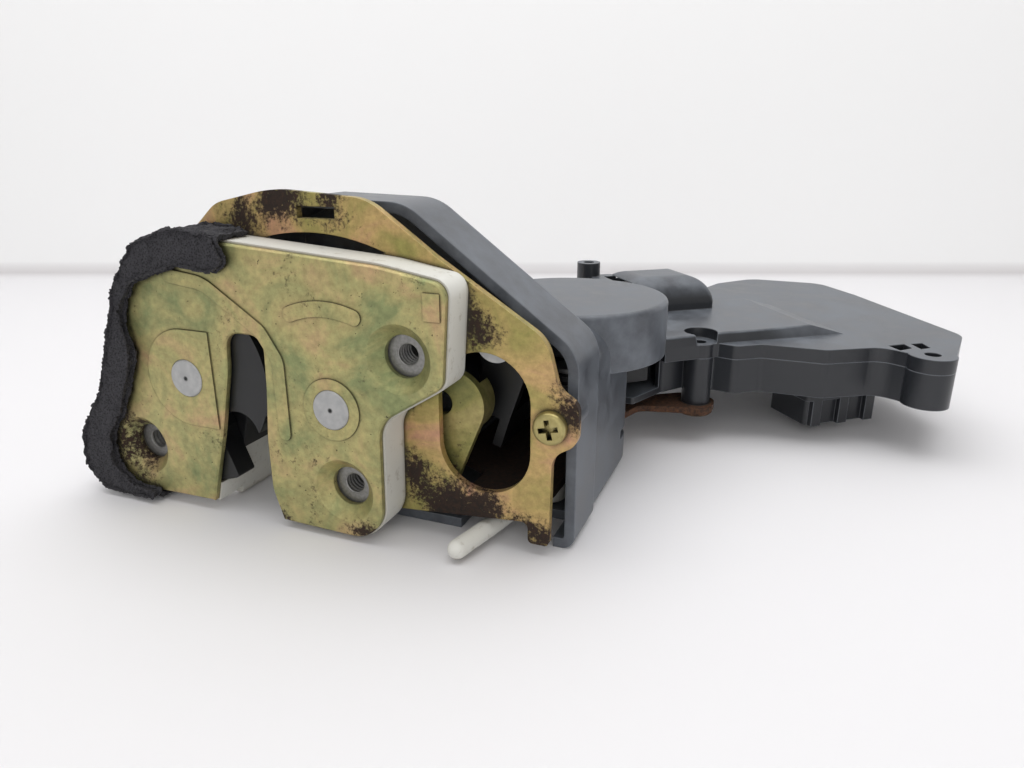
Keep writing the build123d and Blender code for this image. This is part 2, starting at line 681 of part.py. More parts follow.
# ================================================================ lock sector and its pin
SECTOR_BOTTOM = 18.8
SECTOR_TOP = 23.4
SECTOR_HUB_R = 7.0
TOOTH_TIP_R = MODULE * SECTOR_TEETH / 2 + ADDENDUM
SECTOR_HUB_BOTTOM = 17.0
SECTOR_HUB_TOP = 25.0
SECTOR_PIN_R = 3.0
SECTOR_COLLAR_R = 4.6
FIRST_TOOTH, LAST_TOOTH = -6, 1
ARM_REST = -90 - LOCK_SWING / 2
SECTOR_ARM_W = 6.0
SECTOR_ARM_END = 25.0
BALL_REACH = 29.0
BALL_R = 2.2
BALL_NECK_R = 1.2
BALL_Z = (SECTOR_BOTTOM + SECTOR_TOP) / 2
tooth_angle = 360 / SECTOR_TEETH
root_r = MODULE * SECTOR_TEETH / 2 - DEDENDUM
rim_start = WHEEL_BEARING + (FIRST_TOOTH - 0.5) * tooth_angle
rim_end = WHEEL_BEARING + (LAST_TOOTH + 0.5) * tooth_angle

arm_end = Plane(
    origin=(*polar((0, 0), SECTOR_ARM_END - 1, ARM_REST), BALL_Z),
    z_dir=(*polar((0, 0), 1, ARM_REST), 0),
)

with BuildPart() as sector_body:
    with BuildSketch(Plane.XY.offset(SECTOR_BOTTOM)):
        add(sector((0, 0), root_r, rim_start, rim_end))
        add(sector((0, 0), root_r - 4.5, rim_start + 9, rim_end - 9), mode=Mode.SUBTRACT)
        Circle(SECTOR_HUB_R + 2)
        for n in range(FIRST_TOOTH, LAST_TOOTH + 1):
            add(tooth(SECTOR_TEETH, WHEEL_BEARING + n * tooth_angle))
        with Locations(polar((0, 0), SECTOR_ARM_END / 2, ARM_REST)):
            Rectangle(SECTOR_ARM_END, SECTOR_ARM_W, rotation=ARM_REST)
    extrude(amount=SECTOR_TOP - SECTOR_BOTTOM)
    with Locations((0, 0, SECTOR_HUB_BOTTOM)):
        Cylinder(SECTOR_HUB_R, SECTOR_HUB_TOP - SECTOR_HUB_BOTTOM, align=(Align.CENTER, Align.CENTER, Align.MIN))
    with Locations((*polar((0, 0), BALL_REACH, ARM_REST), BALL_Z)):
        Sphere(BALL_R)
    with Locations(arm_end.location):
        Cylinder(BALL_NECK_R, BALL_REACH - SECTOR_ARM_END + 1, align=(Align.CENTER, Align.CENTER, Align.MIN))
    with Locations((0, 0, SECTOR_HUB_BOTTOM)):
        Cylinder(SECTOR_PIN_R + RUN_FIT, 20, align=(Align.CENTER, Align.CENTER, Align.MIN), mode=Mode.SUBTRACT)
lock_sector = Pos(*SECTOR_AXIS) * sector_body.part
lock_sector.label = "lock_sector"
export_step(lock_sector, "parts/lock_sector.step")

with BuildPart() as sector_pin:
    for bottom, top, radius in [
        (SHELF_TOP, SECTOR_HUB_BOTTOM - 0.1, SECTOR_COLLAR_R),
        (SECTOR_HUB_BOTTOM - 0.1, SECTOR_HUB_TOP + 0.1, SECTOR_PIN_R),
        (SECTOR_HUB_TOP + 0.1, SECTOR_HUB_TOP + 1.3, SECTOR_COLLAR_R),
    ]:
        with Locations((*SECTOR_AXIS, bottom)):
            Cylinder(radius, top - bottom, align=(Align.CENTER, Align.CENTER, Align.MIN))
sector_pin.part.label = "sector_pin"
export_step(sector_pin.part, "parts/sector_pin.step")

# ================================================================ lock lever and its stud
LOCK_LEVER_AXIS = (SECTOR_AXIS[0], 45.5)
LOCK_LEVER_PIN_R = 3.0
LOCK_LEVER_FRONT = -16.5
LOCK_LEVER_T = 3.0
LOCK_LEVER_HUB_R = 5.4
LOCK_LEVER_BACK = LOCK_LEVER_FRONT + LOCK_LEVER_T
PRONG_BACK = -2.8
PRONG_W = 2.2
PRONG_SLOT_W = 2 * (BALL_R + 0.3)
LOCK_LEVER_REACH = LOCK_LEVER_AXIS[1] - BALL_Z
LOCK_LEVER_SWING = 2 * degrees(atan2(BALL_REACH * sin(radians(LOCK_SWING / 2)), LOCK_LEVER_REACH))

with BuildPart() as lever_body:
    with BuildSketch(Plane.XZ):
        Circle(LOCK_LEVER_HUB_R)
        with Locations((0, -LOCK_LEVER_REACH + 6)):
            Rectangle(PRONG_SLOT_W + 2 * PRONG_W, 6)
        make_hull()
        Circle(LOCK_LEVER_PIN_R + RUN_FIT, mode=Mode.SUBTRACT)
    extrude(amount=-LOCK_LEVER_T)
    with BuildSketch(Plane.XZ):
        with Locations((0, -LOCK_LEVER_REACH + 0.6)):
            Rectangle(PRONG_SLOT_W + 2 * PRONG_W, 8.4)
            Rectangle(PRONG_SLOT_W, 8.4, mode=Mode.SUBTRACT)
    extrude(amount=-(PRONG_BACK - LOCK_LEVER_FRONT))
at_lock_lever = Pos(LOCK_LEVER_AXIS[0], LOCK_LEVER_FRONT, LOCK_LEVER_AXIS[1])
lock_lever = at_lock_lever * Rot(0, LOCK_LEVER_SWING / 2, 0) * lever_body.part
lock_lever.label = "lock_lever"
export_step(lock_lever, "parts/lock_lever.step")

with BuildPart() as lock_lever_pin:
    for start, end, radius in [
        (BASE_BACK, LOCK_LEVER_FRONT - 0.2, LOCK_LEVER_PIN_R + 1.2),
        (LOCK_LEVER_FRONT - 0.2, LOCK_LEVER_BACK + 0.2, LOCK_LEVER_PIN_R),
        (LOCK_LEVER_BACK + 0.2, LOCK_LEVER_BACK + 0.9, LOCK_LEVER_PIN_R + 1.2),
    ]:
        with BuildSketch(front_plane(start)):
            with Locations(LOCK_LEVER_AXIS):
                Circle(radius)
        extrude(amount=start - end)
lock_lever_pin.part.label = "lock_lever_pin"
export_step(lock_lever_pin.part, "parts/lock_lever_pin.step")

# ================================================================ main housing
HOUSING_T = 2.3
HOUSING_FRONT = -25.0
HOUSING_MID = -10.0
BLOCK_BACK = 29.0
BLOCK_TOP = 44.5
BLOCK_LEFT = -20.0
BLOCK_STEP = 0.8
TOWER_R = 25.0
TOWER_T = 2.2
TOWER_TOP = 45.5
TOWER_BOTTOM = 31.3
ROOM_BOTTOM = SHELF_TOP + SIDE
HOUSING_CORNERS = [
    (-33.0, 0.0, 2),
    (26.8, 0.0, 3),
    (26.8, 44.0, 9),
    (-11.0, 72.0, 12),
    (-36.0, 72.6, 4),
    (-48.0, 67.4, 3),
    (-48.0, 57.0, 3),
    (-33.0, 52.0, 4),
]
BLOCK_CORNERS = [
    (BLOCK_LEFT, 0.0, 2),
    (26.8 - BLOCK_STEP, 0.0, 3),
    (26.8 - BLOCK_STEP, BLOCK_TOP, 10),
    (BLOCK_LEFT, BLOCK_TOP, 3),
]
SCREW_BOSS_R = 4.2
SCREW_BOSS_L = 10.5
CHILD_AXIS = (14.5, -7.0)
CHILD_STUB_R = 2.2
CHILD_STUB_TOP = 8.5
ROOM_FROM, ROOM_TO = 18.0, 150.0
housing_outline = profile(HOUSING_CORNERS)
housing_inside = offset(housing_outline, amount=-HOUSING_T)
block_outline = profile(BLOCK_CORNERS)
block_inside = offset(block_outline, amount=-TOWER_T)

with BuildPart() as main_housing:
    with BuildSketch(front_plane(HOUSING_MID)):
        add(block_outline)
    extrude(amount=-(BLOCK_BACK - HOUSING_MID))
    back_face = main_housing.faces().sort_by(Axis.Y)[-1]
    fillet(back_face.edges().sort_by(Axis.Z)[0], 7.5)
    with Locations((*SECTOR_AXIS, TOWER_BOTTOM)):
        Cylinder(TOWER_R, TOWER_TOP - TOWER_BOTTOM, align=(Align.CENTER, Align.CENTER, Align.MIN))
    fillet(main_housing.edges().filter_by(GeomType.CIRCLE).sort_by(Axis.Z)[-1], 1.2)
    with BuildSketch(front_plane(HOUSING_FRONT)):
        add(housing_outline)
    extrude(amount=-(HOUSING_MID - HOUSING_FRONT))
    with BuildSketch(front_plane(HOUSING_FRONT)):
        add(housing_inside)
    extrude(amount=-(HOUSING_MID - HOUSING_FRONT - HOUSING_T), mode=Mode.SUBTRACT)
    with BuildSketch(front_plane(HOUSING_MID - HOUSING_T)):
        add(block_inside)
    extrude(amount=-(21.0 - HOUSING_MID + HOUSING_T), mode=Mode.SUBTRACT)
    with BuildSketch(front_plane(HOUSING_MID)):
        with Locations(((BLOCK_LEFT + 26.8 - BLOCK_STEP) / 2, (ROOM_BOTTOM + BLOCK_TOP - TOWER_T) / 2)):
            Rectangle(26.8 - BLOCK_STEP - BLOCK_LEFT - 2 * TOWER_T, BLOCK_TOP - TOWER_T - ROOM_BOTTOM)
        add(block_inside, mode=Mode.INTERSECT)
    extrude(amount=-(BLOCK_BACK - TOWER_T - HOUSING_MID), mode=Mode.SUBTRACT)
    with Locations((*SECTOR_AXIS, TOWER_BOTTOM)):
        Cylinder(TOWER_R - TOWER_T, TOWER_TOP - TOWER_T - TOWER_BOTTOM,
                 align=(Align.CENTER, Align.CENTER, Align.MIN), mode=Mode.SUBTRACT)
    # slot in the back wall for the lock sector and its hub
    with BuildSketch(Plane.XY.offset(SECTOR_BOTTOM - 0.8)):
        add(sector(SECTOR_AXIS, TOOTH_TIP_R + 1.0, ROOM_FROM, ROOM_TO))
    extrude(amount=SECTOR_TOP - SECTOR_BOTTOM + 1.6, mode=Mode.SUBTRACT)
    with Locations((*SECTOR_AXIS, ROOM_BOTTOM)):
        Cylinder(SECTOR_HUB_R + 3, SECTOR_HUB_TOP + 2 - ROOM_BOTTOM,
                 align=(Align.CENTER, Align.CENTER, Align.MIN), mode=Mode.SUBTRACT)
    with Locations((4.0, BLOCK_BACK - 4, SHELF_TOP - SHELF_T / 2)):
        Box(47.0, 14.0, SHELF_T + 2 * SIDE, mode=Mode.SUBTRACT)
    with Locations((11.0, HOUSING_FRONT, 0)):
        Box(22.0, 24.0, 2 * HOUSING_T, mode=Mode.SUBTRACT)
    with Locations((*CHILD_AXIS, HOUSING_T / 2)):
        Cylinder(CHILD_STUB_R, CHILD_STUB_TOP - HOUSING_T / 2, align=(Align.CENTER, Align.CENTER, Align.MIN))
    with BuildSketch(front_plane(BASE_BACK)):
        with Locations(BASE_SCREW_AT):
            Circle(SCREW_BOSS_R)
    extrude(amount=-SCREW_BOSS_L)
    with BuildSketch(front_plane(BASE_BACK)):
        with Locations(BASE_SCREW_AT):
            Circle(SCREW_SHANK_R)
    extrude(amount=-(SCREW_LENGTH + 1.0), mode=Mode.SUBTRACT)
main_housing.part.label = "main_housing"
export_step(main_housing.part, "parts/main_housing.step")

# ================================================================ child lock lever
CHILD_HUB_R = 4.5
CHILD_HUB_BOTTOM = HOUSING_T + 0.3
CHILD_HUB_TOP = 8.6
CHILD_BAR_R = 2.1
CHILD_BEND = (8.7, -26.0, 3.4)
CHILD_TIP = (5.3, -38.0, 2.9)
child_root = (*CHILD_AXIS, 5.6)

with BuildPart() as child_lock_lever:
    with Locations((*CHILD_AXIS, CHILD_HUB_BOTTOM)):
        Cylinder(CHILD_HUB_R, CHILD_HUB_TOP - CHILD_HUB_BOTTOM, align=(Align.CENTER, Align.CENTER, Align.MIN))
    with BuildLine() as bar_line:
        Line(child_root, CHILD_BEND)
    with BuildSketch(Plane(origin=child_root, z_dir=bar_line.edges()[0] % 0)):
        Circle(CHILD_BAR_R)
    sweep(path=bar_line.wires()[0])
    with BuildLine() as tip_line:
        Line(CHILD_BEND, CHILD_TIP)
    with BuildSketch(Plane(origin=CHILD_BEND, z_dir=tip_line.edges()[0] % 0)):
        Circle(CHILD_BAR_R)
    sweep(path=tip_line.wires()[0])
    with Locations(CHILD_BEND, CHILD_TIP):
        Sphere(CHILD_BAR_R)
    with Locations((*CHILD_AXIS, 0)):
        Cylinder(CHILD_STUB_R + RUN_FIT, 30, mode=Mode.SUBTRACT)
child_lock_lever.part.label = "child_lock_lever"
export_step(child_lock_lever.part, "parts/child_lock_lever.step")

# ================================================================ actuator case and cover
CASE_BOTTOM = 15.0
CASE_SPLIT = 25.0
COVER_TOP = 29.0
CASE_T = 1.8
COVER_T = 1.6
BOSS1_R = 4.1
BOSS1_HOLE_R = 1.9
RIVET_TOP = 16.0
BOSS2_AT = (100.7, 59.4)
BOSS2_R = 6.1
BOSS2_HOLE_R = 2.15
BOSS3_AT = (-2.7, 84.0)
BOSS3_R = 3.9
BOSS3_TOP = 44.0
BLOCK_L, BLOCK_W = 29.6, 26.6
BLOCK_SHIFT = 2.6                    # the block leans towards the open side of the motor
BLOCK_ROUND = 8.0
LUG_TOP = 39.5
MOTOR_BLOCK_TOP = 42.0
BELLY_BOTTOM = 13.1
DOME_R = 15.5
DOME_TOP = 33.0
HUMP_W = 12.0
SHROUD_AT = (75.1, 75.3)
SHROUD_L, SHROUD_W = 24.0, 17.0
SHROUD_BOTTOM = 3.6
SHROUD_T = 1.6
COLLAR_BOTTOM = 11.5
KEY_W, KEY_H = 3.2, 1.6
KEY_PITCH = 9.4
PIN_W = 0.9
PIN_PITCH = 4.6
PIN_ROW = 6.0
ARM_CORNERS = [
    (-12.0, BLOCK_BACK + SIDE, 2),
    (26.5, BLOCK_BACK + SIDE, 1),
    (31.5, 42.0, 3),
    (37.5, 50.0, 3),
    (45.0, 50.0, 2),
    (51.0, 48.6, 3),
    (57.5, 53.4, 3),
    (74.5, 53.6, 4),
    (88.5, 62.4, 6),
    (96.0, 58.0, 3),
    (106.5, 60.0, 3),
    (111.5, 85.0, 10),
    (84.2, 137.3, 10),
    (72.0, 156.0, 8),
    (46.0, 156.5, 8),
    (34.5, 142.0, 8),
    (24.0, 107.0, 6),
    (-4.0, 93.5, 4),
    (-12.0, 78.0, 4),
]
PLATEAU_H = 3.0
PLATEAU_FOOT = [(30.0, 36.0), (44.2, 48.6), (56.6, 57.8), (79.1, 74.5), (56.7, 107.0), (8.0, 72.0)]
PLATEAU_EDGE = [(30.0, 36.0), (43.9, 49.2), (56.3, 58.5), (69.5, 69.8), (47.1, 102.1), (8.0, 72.0)]
POCKETS = [
    [(90.2, 64.9), (94.6, 68.5), (96.2, 64.4), (92.9, 60.6)],
    [(96.2, 69.2), (99.4, 71.5), (101.0, 66.6), (98.4, 64.2)],
]
POCKET_DEPTH = 6.0


def along_shaft(u, v, length, width, radius):
    """Rounded rectangle centred u along the shaft and v to its side, measured from the motor."""
    centre = polar(polar(MOTOR_AXIS, u, MOTOR_TURN), v, MOTOR_TURN - 90)
    with BuildSketch() as shape:
        with Locations(centre):
            RectangleRounded(length, width, radius, rotation=MOTOR_TURN)
    return shape.sketch


arm_inside = offset(profile(ARM_CORNERS), amount=-CASE_T)
bosses = disc(BOSS1_AT, BOSS1_R) + disc(BOSS2_AT, BOSS2_R) + disc(BOSS3_AT, BOSS3_R)
arm_outline = profile(ARM_CORNERS) + bosses
arm_cavity = arm_inside - bosses
sector_room = disc(SECTOR_AXIS, TOOTH_TIP_R + 0.7)
block_plan = along_shaft(0, BLOCK_SHIFT, BLOCK_L, BLOCK_W, 2.0)
block_cavity = along_shaft(0, 0, BLOCK_L - 2 * COVER_T, 2 * (BLOCK_W / 2 - BLOCK_SHIFT - COVER_T), 0.8)
hump_plan = along_shaft(-(BLOCK_L / 2 + 8.0), 0, 20.0, HUMP_W, 2.0)
hump_cavity = along_shaft(-(BLOCK_L / 2 + 6.5), 0, 20.0, HUMP_W - 2 * COVER_T, 0.8)

with BuildPart() as actuator_case:
    with BuildSketch(Plane.XY.offset(CASE_BOTTOM)):
        add(arm_outline)
    extrude(amount=CASE_SPLIT - CASE_BOTTOM)
    with BuildSketch(Plane.XY.offset(BELLY_BOTTOM)):
        add(block_plan)
    extrude(amount=CASE_SPLIT - BELLY_BOTTOM)
    with BuildSketch(Plane.XY.offset(SHROUD_BOTTOM)):
        with Locations(SHROUD_AT):
            RectangleRounded(SHROUD_L, SHROUD_W, 1.5, rotation=MOTOR_TURN)
        with Locations(Location((*SHROUD_AT, 0), (0, 0, MOTOR_TURN)) * Pos(0, -SHROUD_W / 2)):
            with GridLocations(KEY_PITCH, 1, 3, 1):
                Rectangle(KEY_W, 2 * KEY_H)
    extrude(amount=CASE_BOTTOM - SHROUD_BOTTOM)
    with BuildSketch(Plane.XY.offset(COLLAR_BOTTOM)):
        with Locations(SHROUD_AT):
            RectangleRounded(SHROUD_L + 2.4, SHROUD_W + 2 * KEY_H, 1.5, rotation=MOTOR_TURN)
    extrude(amount=CASE_BOTTOM - COLLAR_BOTTOM)
    with BuildSketch(Plane.XY.offset(SHELF_TOP)):
        with Locations(BOSS1_AT):
            Circle(BOSS1_R)
    extrude(amount=CASE_BOTTOM - SHELF_TOP)
    with BuildSketch(Plane.XY.offset(CASE_BOTTOM + CASE_T)):
        add(arm_cavity)
    extrude(amount=CASE_SPLIT - CASE_BOTTOM, mode=Mode.SUBTRACT)
    with BuildSketch(Plane.XY.offset(CASE_BOTTOM - SEAT)):
        add(block_cavity)
    extrude(amount=CASE_SPLIT - CASE_BOTTOM + 1, mode=Mode.SUBTRACT)
    with BuildSketch(Plane.XY.offset(CASE_BOTTOM + CASE_T)):
        add(sector_room)
    extrude(amount=CASE_SPLIT, mode=Mode.SUBTRACT)
    with BuildSketch(Plane.XY.offset(SHROUD_BOTTOM)):
        with Locations(SHROUD_AT):
            RectangleRounded(SHROUD_L - 2 * SHROUD_T, SHROUD_W - 2 * SHROUD_T, 0.8, rotation=MOTOR_TURN)
    extrude(amount=CASE_BOTTOM - SHROUD_BOTTOM - 2.0, mode=Mode.SUBTRACT)
    with Locations((*BOSS1_AT, CASE_SPLIT)):
        Hole(BOSS1_HOLE_R, CASE_SPLIT - RIVET_TOP)
        Hole(BOSS_RIVET_R + SEAT, CASE_SPLIT - SHELF_TOP)
    with Locations((*BOSS2_AT, CASE_SPLIT)):
        Hole(BOSS2_HOLE_R, CASE_SPLIT - CASE_BOTTOM)
    with BuildSketch(Plane.XY.offset(CASE_BOTTOM + CASE_T)):
        with Locations(WHEEL_AXIS):
            Circle(4.4)
            Circle(WHEEL_PIN_R + SEAT, mode=Mode.SUBTRACT)
    extrude(amount=PINION_BOTTOM - 0.2 - CASE_BOTTOM - CASE_T)
    with Locations(Location((*SHROUD_AT, CASE_BOTTOM), (0, 0, MOTOR_TURN))):
        with GridLocations(PIN_PITCH, PIN_ROW, 4, 2):
            Box(PIN_W + 2 * SEAT, PIN_W + 2 * SEAT, 12.0, mode=Mode.SUBTRACT)
actuator_case.part.label = "actuator_case"
export_step(actuator_case.part, "parts/actuator_case.step")

with BuildPart() as motor_block:
    with BuildSketch(Plane.XY.offset(CASE_SPLIT)):
        with Locations((0, -BLOCK_SHIFT)):
            RectangleRounded(BLOCK_L, BLOCK_W, 1.5)
    extrude(amount=MOTOR_BLOCK_TOP - CASE_SPLIT)
    top_edges = motor_block.faces().sort_by(Axis.Z)[-1].edges().sort_by(Axis.Y)
    fillet(top_edges[0], BLOCK_ROUND)

with BuildPart() as plateau:
    with BuildSketch(Plane.XY.offset(CASE_SPLIT)):
        with BuildLine():
            Polyline(*PLATEAU_FOOT, close=True)
        make_face()
    extrude(amount=COVER_TOP - CASE_SPLIT)
    with BuildSketch(Plane.XY.offset(COVER_TOP)):
        with BuildLine():
            Polyline(*PLATEAU_FOOT, close=True)
        make_face()
    with BuildSketch(Plane.XY.offset(COVER_TOP + PLATEAU_H)):
        with BuildLine():
            Polyline(*PLATEAU_EDGE, close=True)
        make_face()
    loft(ruled=True)
    fillet(plateau.faces().sort_by(Axis.Z)[-1].edges(), 0.8)
    with BuildSketch(Plane.XY.offset(COVER_TOP)):
        with Locations(BOSS1_AT):
            Circle(BOSS1_R + 0.6)
    extrude(amount=PLATEAU_H, mode=Mode.SUBTRACT)

with BuildPart() as actuator_cover:
    with BuildSketch(Plane.XY.offset(CASE_SPLIT)):
        add(arm_outline)
    extrude(amount=COVER_TOP - CASE_SPLIT)
    add(plateau.part)
    add(Pos(*MOTOR_AXIS) * Rot(0, 0, MOTOR_TURN) * motor_block.part)
    with BuildSketch(Plane.XY.offset(CASE_SPLIT)):
        add(along_shaft(-13.0, -6.5, 9.0, 13.0, 2.0))
    extrude(amount=LUG_TOP - CASE_SPLIT)
    with BuildSketch(Plane.XY.offset(CASE_SPLIT)):
        with Locations(WHEEL_AXIS):
            Circle(DOME_R)
    extrude(amount=DOME_TOP - CASE_SPLIT)
    with BuildSketch(Plane.XY.offset(CASE_SPLIT)):
        add(hump_plan)
    extrude(amount=DOME_TOP + 1.0 - CASE_SPLIT)
    with BuildSketch(Plane.XY.offset(CASE_SPLIT)):
        add(disc(BOSS3_AT, BOSS3_R))
    extrude(amount=BOSS3_TOP - CASE_SPLIT)
    with BuildSketch(Plane.XY.offset(CASE_SPLIT)):
        add(arm_cavity + sector_room)
    extrude(amount=COVER_TOP - COVER_T - CASE_SPLIT, mode=Mode.SUBTRACT)
    with BuildSketch(Plane.XY.offset(CASE_SPLIT)):
        add(block_cavity)
    extrude(amount=MOTOR_BLOCK_TOP - COVER_T - CASE_SPLIT, mode=Mode.SUBTRACT)
    with BuildSketch(Plane.XY.offset(CASE_SPLIT)):
        with Locations(WHEEL_AXIS):
            Circle(DOME_R - COVER_T)
    extrude(amount=WHEEL_TOP + 0.4 - CASE_SPLIT, mode=Mode.SUBTRACT)
    with BuildSketch(Plane.XY.offset(CASE_SPLIT)):
        with Locations(WHEEL_AXIS):
            Circle(WHEEL_PIN_R + SEAT)
    extrude(amount=DOME_TOP - COVER_T - CASE_SPLIT, mode=Mode.SUBTRACT)
    with BuildSketch(Plane.XY.offset(CASE_SPLIT)):
        add(hump_cavity)
    extrude(amount=DOME_TOP + 1.0 - COVER_T - CASE_SPLIT, mode=Mode.SUBTRACT)
    with BuildSketch(Plane.XY.offset(TOWER_BOTTOM - SIDE)):
        add(disc(SECTOR_AXIS, TOWER_R + SIDE))
    extrude(amount=MOTOR_BLOCK_TOP - TOWER_BOTTOM, mode=Mode.SUBTRACT)
    with BuildSketch(Plane.XY.offset(COVER_TOP)):
        for corners in POCKETS:
            with BuildLine():
                Polyline(*corners, close=True)
            make_face()
    extrude(amount=-POCKET_DEPTH, mode=Mode.SUBTRACT)
    for at, radius, top in (
        (BOSS1_AT, BOSS1_HOLE_R, COVER_TOP),
        (BOSS2_AT, BOSS2_HOLE_R, COVER_TOP),
        (BOSS3_AT, BOSS1_HOLE_R, BOSS3_TOP),
    ):
        with Locations((*at, top)):
            Hole(radius, 40)
actuator_cover.part.label = "actuator_cover"
export_step(actuator_cover.part, "parts/actuator_cover.step")

# ================================================================ wheel pin
with BuildPart() as wheel_pin:
    with Locations((*WHEEL_AXIS, CASE_BOTTOM + CASE_T)):
        Cylinder(WHEEL_PIN_R, DOME_TOP - COVER_T - SEAT - CASE_BOTTOM - CASE_T,
                 align=(Align.CENTER, Align.CENTER, Align.MIN))
wheel_pin.part.label = "wheel_pin"
export_step(wheel_pin.part, "parts/wheel_pin.step")

# ================================================================ motor
MOTOR_R = 12.0
MOTOR_FLATS = 18.0
MOTOR_L = 19.8
MOTOR_FRONT = -10.2
BEARING_R = 3.2
CAP_T = 2.0

with BuildPart() as motor_body:
    with BuildSketch(Plane.XY.offset(MOTOR_FRONT)):
        Circle(MOTOR_R)
        Rectangle(MOTOR_FLATS, 2 * MOTOR_R, mode=Mode.INTERSECT)
    extrude(amount=MOTOR_L)
    chamfer(motor_body.faces().sort_by(Axis.Z)[0].edges(), 0.8)
    with BuildSketch(Plane.XY.offset(MOTOR_FRONT)):
        Circle(BEARING_R)
    extrude(amount=-0.4)
    with Locations((0, 0, MOTOR_FRONT - 1)):
        Cylinder(SHAFT_R + RUN_FIT, 60, mode=Mode.SUBTRACT)
motor = shaft_plane.location * motor_body.part
motor.label = "motor"
export_step(motor, "parts/motor.step")

with BuildPart() as cap_body:
    with BuildSketch(Plane.XY.offset(MOTOR_FRONT + MOTOR_L)):
        Circle(MOTOR_R - 1.2)
        Rectangle(MOTOR_FLATS - 2.4, 2 * MOTOR_R, mode=Mode.INTERSECT)
        Circle(SHAFT_R + RUN_FIT, mode=Mode.SUBTRACT)
    extrude(amount=CAP_T)
motor_end_cap = shaft_plane.location * cap_body.part
motor_end_cap.label = "motor_end_cap"
export_step(motor_end_cap, "parts/motor_end_cap.step")

# ================================================================ connector terminals
with BuildPart() as connector_terminals:
    with Locations(Location((*SHROUD_AT, SHROUD_BOTTOM + 3.0), (0, 0, MOTOR_TURN))):
        with GridLocations(PIN_PITCH, PIN_ROW, 4, 2):
            Box(PIN_W, PIN_W, CASE_BOTTOM + CASE_T + 1.5 - SHROUD_BOTTOM - 3.0,
                align=(Align.CENTER, Align.CENTER, Align.MIN))
connector_terminals.part.label = "connector_terminals"
export_step(connector_terminals.part, "parts/connector_terminals.step")

# ================================================================ rivet that holds the case on the shelf
RIVET_HEAD_R = 5.0
RIVET_HEAD_H = 1.5

with BuildPart() as boss_rivet:
    with Locations((*BOSS1_AT, SHELF_TOP - SHELF_T - RIVET_HEAD_H)):
        Cylinder(RIVET_HEAD_R, RIVET_HEAD_H, align=(Align.CENTER, Align.CENTER, Align.MIN))
        Cylinder(BOSS_RIVET_R, RIVET_TOP + RIVET_HEAD_H + SHELF_T - SHELF_TOP,
                 align=(Align.CENTER, Align.CENTER, Align.MIN))
    chamfer(boss_rivet.faces().sort_by(Axis.Z)[0].edges(), 0.5)
boss_rivet.part.label = "boss_rivet"
export_step(boss_rivet.part, "parts/boss_rivet.step")

# ================================================================ fork spring
# flat spiral of one and a half turns in the recess behind the fork, drawn as three half circles
STRIP_T = 0.6
STRIP_W = 1.4
SPIRAL_R = 6.4
SPIRAL_STEP = 0.55                   # how far each half circle's centre moves

with BuildPart() as spring_body:
    with BuildSketch(Plane.XZ) as strip:
        with BuildLine() as spiral:
            CenterArc((0, 0), SPIRAL_R, 0, 180)
            CenterArc((SPIRAL_STEP, 0), SPIRAL_R + SPIRAL_STEP, 180, 180)
            CenterArc((0, 0), SPIRAL_R + 2 * SPIRAL_STEP, 0, 150)
        trace(line_width=STRIP_T)
    extrude(amount=-STRIP_W)
spring_front = (CAVITY_BACK + FORK_BACK - FORK_RECESS - STRIP_W) / 2
fork_spring = Pos(FORK_AXIS[0], spring_front, FORK_AXIS[1]) * spring_body.part
fork_spring.label = "fork_spring"
export_step(fork_spring, "parts/fork_spring.step")
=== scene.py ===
"""Power door latch with its lock actuator, on a white table.

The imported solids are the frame. Each section dresses one group of pieces, from the latch face
back to the motor case, and the last ones set the stage, the lights and the camera. Lengths are
in metres, and the patterns of the materials are in millimetres.
"""
from math import radians

import bpy
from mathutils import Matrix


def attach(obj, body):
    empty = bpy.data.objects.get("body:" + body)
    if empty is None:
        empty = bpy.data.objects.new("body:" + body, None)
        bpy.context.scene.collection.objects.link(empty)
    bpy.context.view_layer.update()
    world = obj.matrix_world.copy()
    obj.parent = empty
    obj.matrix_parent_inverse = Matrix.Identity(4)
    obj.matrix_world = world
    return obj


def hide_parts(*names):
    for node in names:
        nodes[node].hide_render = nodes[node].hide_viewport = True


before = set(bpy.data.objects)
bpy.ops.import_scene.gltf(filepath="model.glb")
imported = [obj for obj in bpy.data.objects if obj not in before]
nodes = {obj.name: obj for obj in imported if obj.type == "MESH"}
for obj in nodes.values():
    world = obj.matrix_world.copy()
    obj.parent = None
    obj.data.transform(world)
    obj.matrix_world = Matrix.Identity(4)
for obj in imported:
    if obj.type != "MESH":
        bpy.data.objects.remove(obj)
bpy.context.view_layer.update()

# ---------------------------------------------------------------- face plate, base plate and lever
# Steel stampings, zinc plated and yellow chromated: the face plate and the base plate are riveted
# round the latch body, and the opening lever swings behind the window of the base plate. Years in
# a door left the film clouded from olive to pink, with brown rust where water stood.
FACE_CLOUDS = ("#8A9163", "#B2A873", "#BE9F78")
BASE_CLOUDS = ("#9A9355", "#BFA26C", "#C4937A")
LEVER_CLOUDS = ("#6E7043", "#8F8A52", "#A79A66")
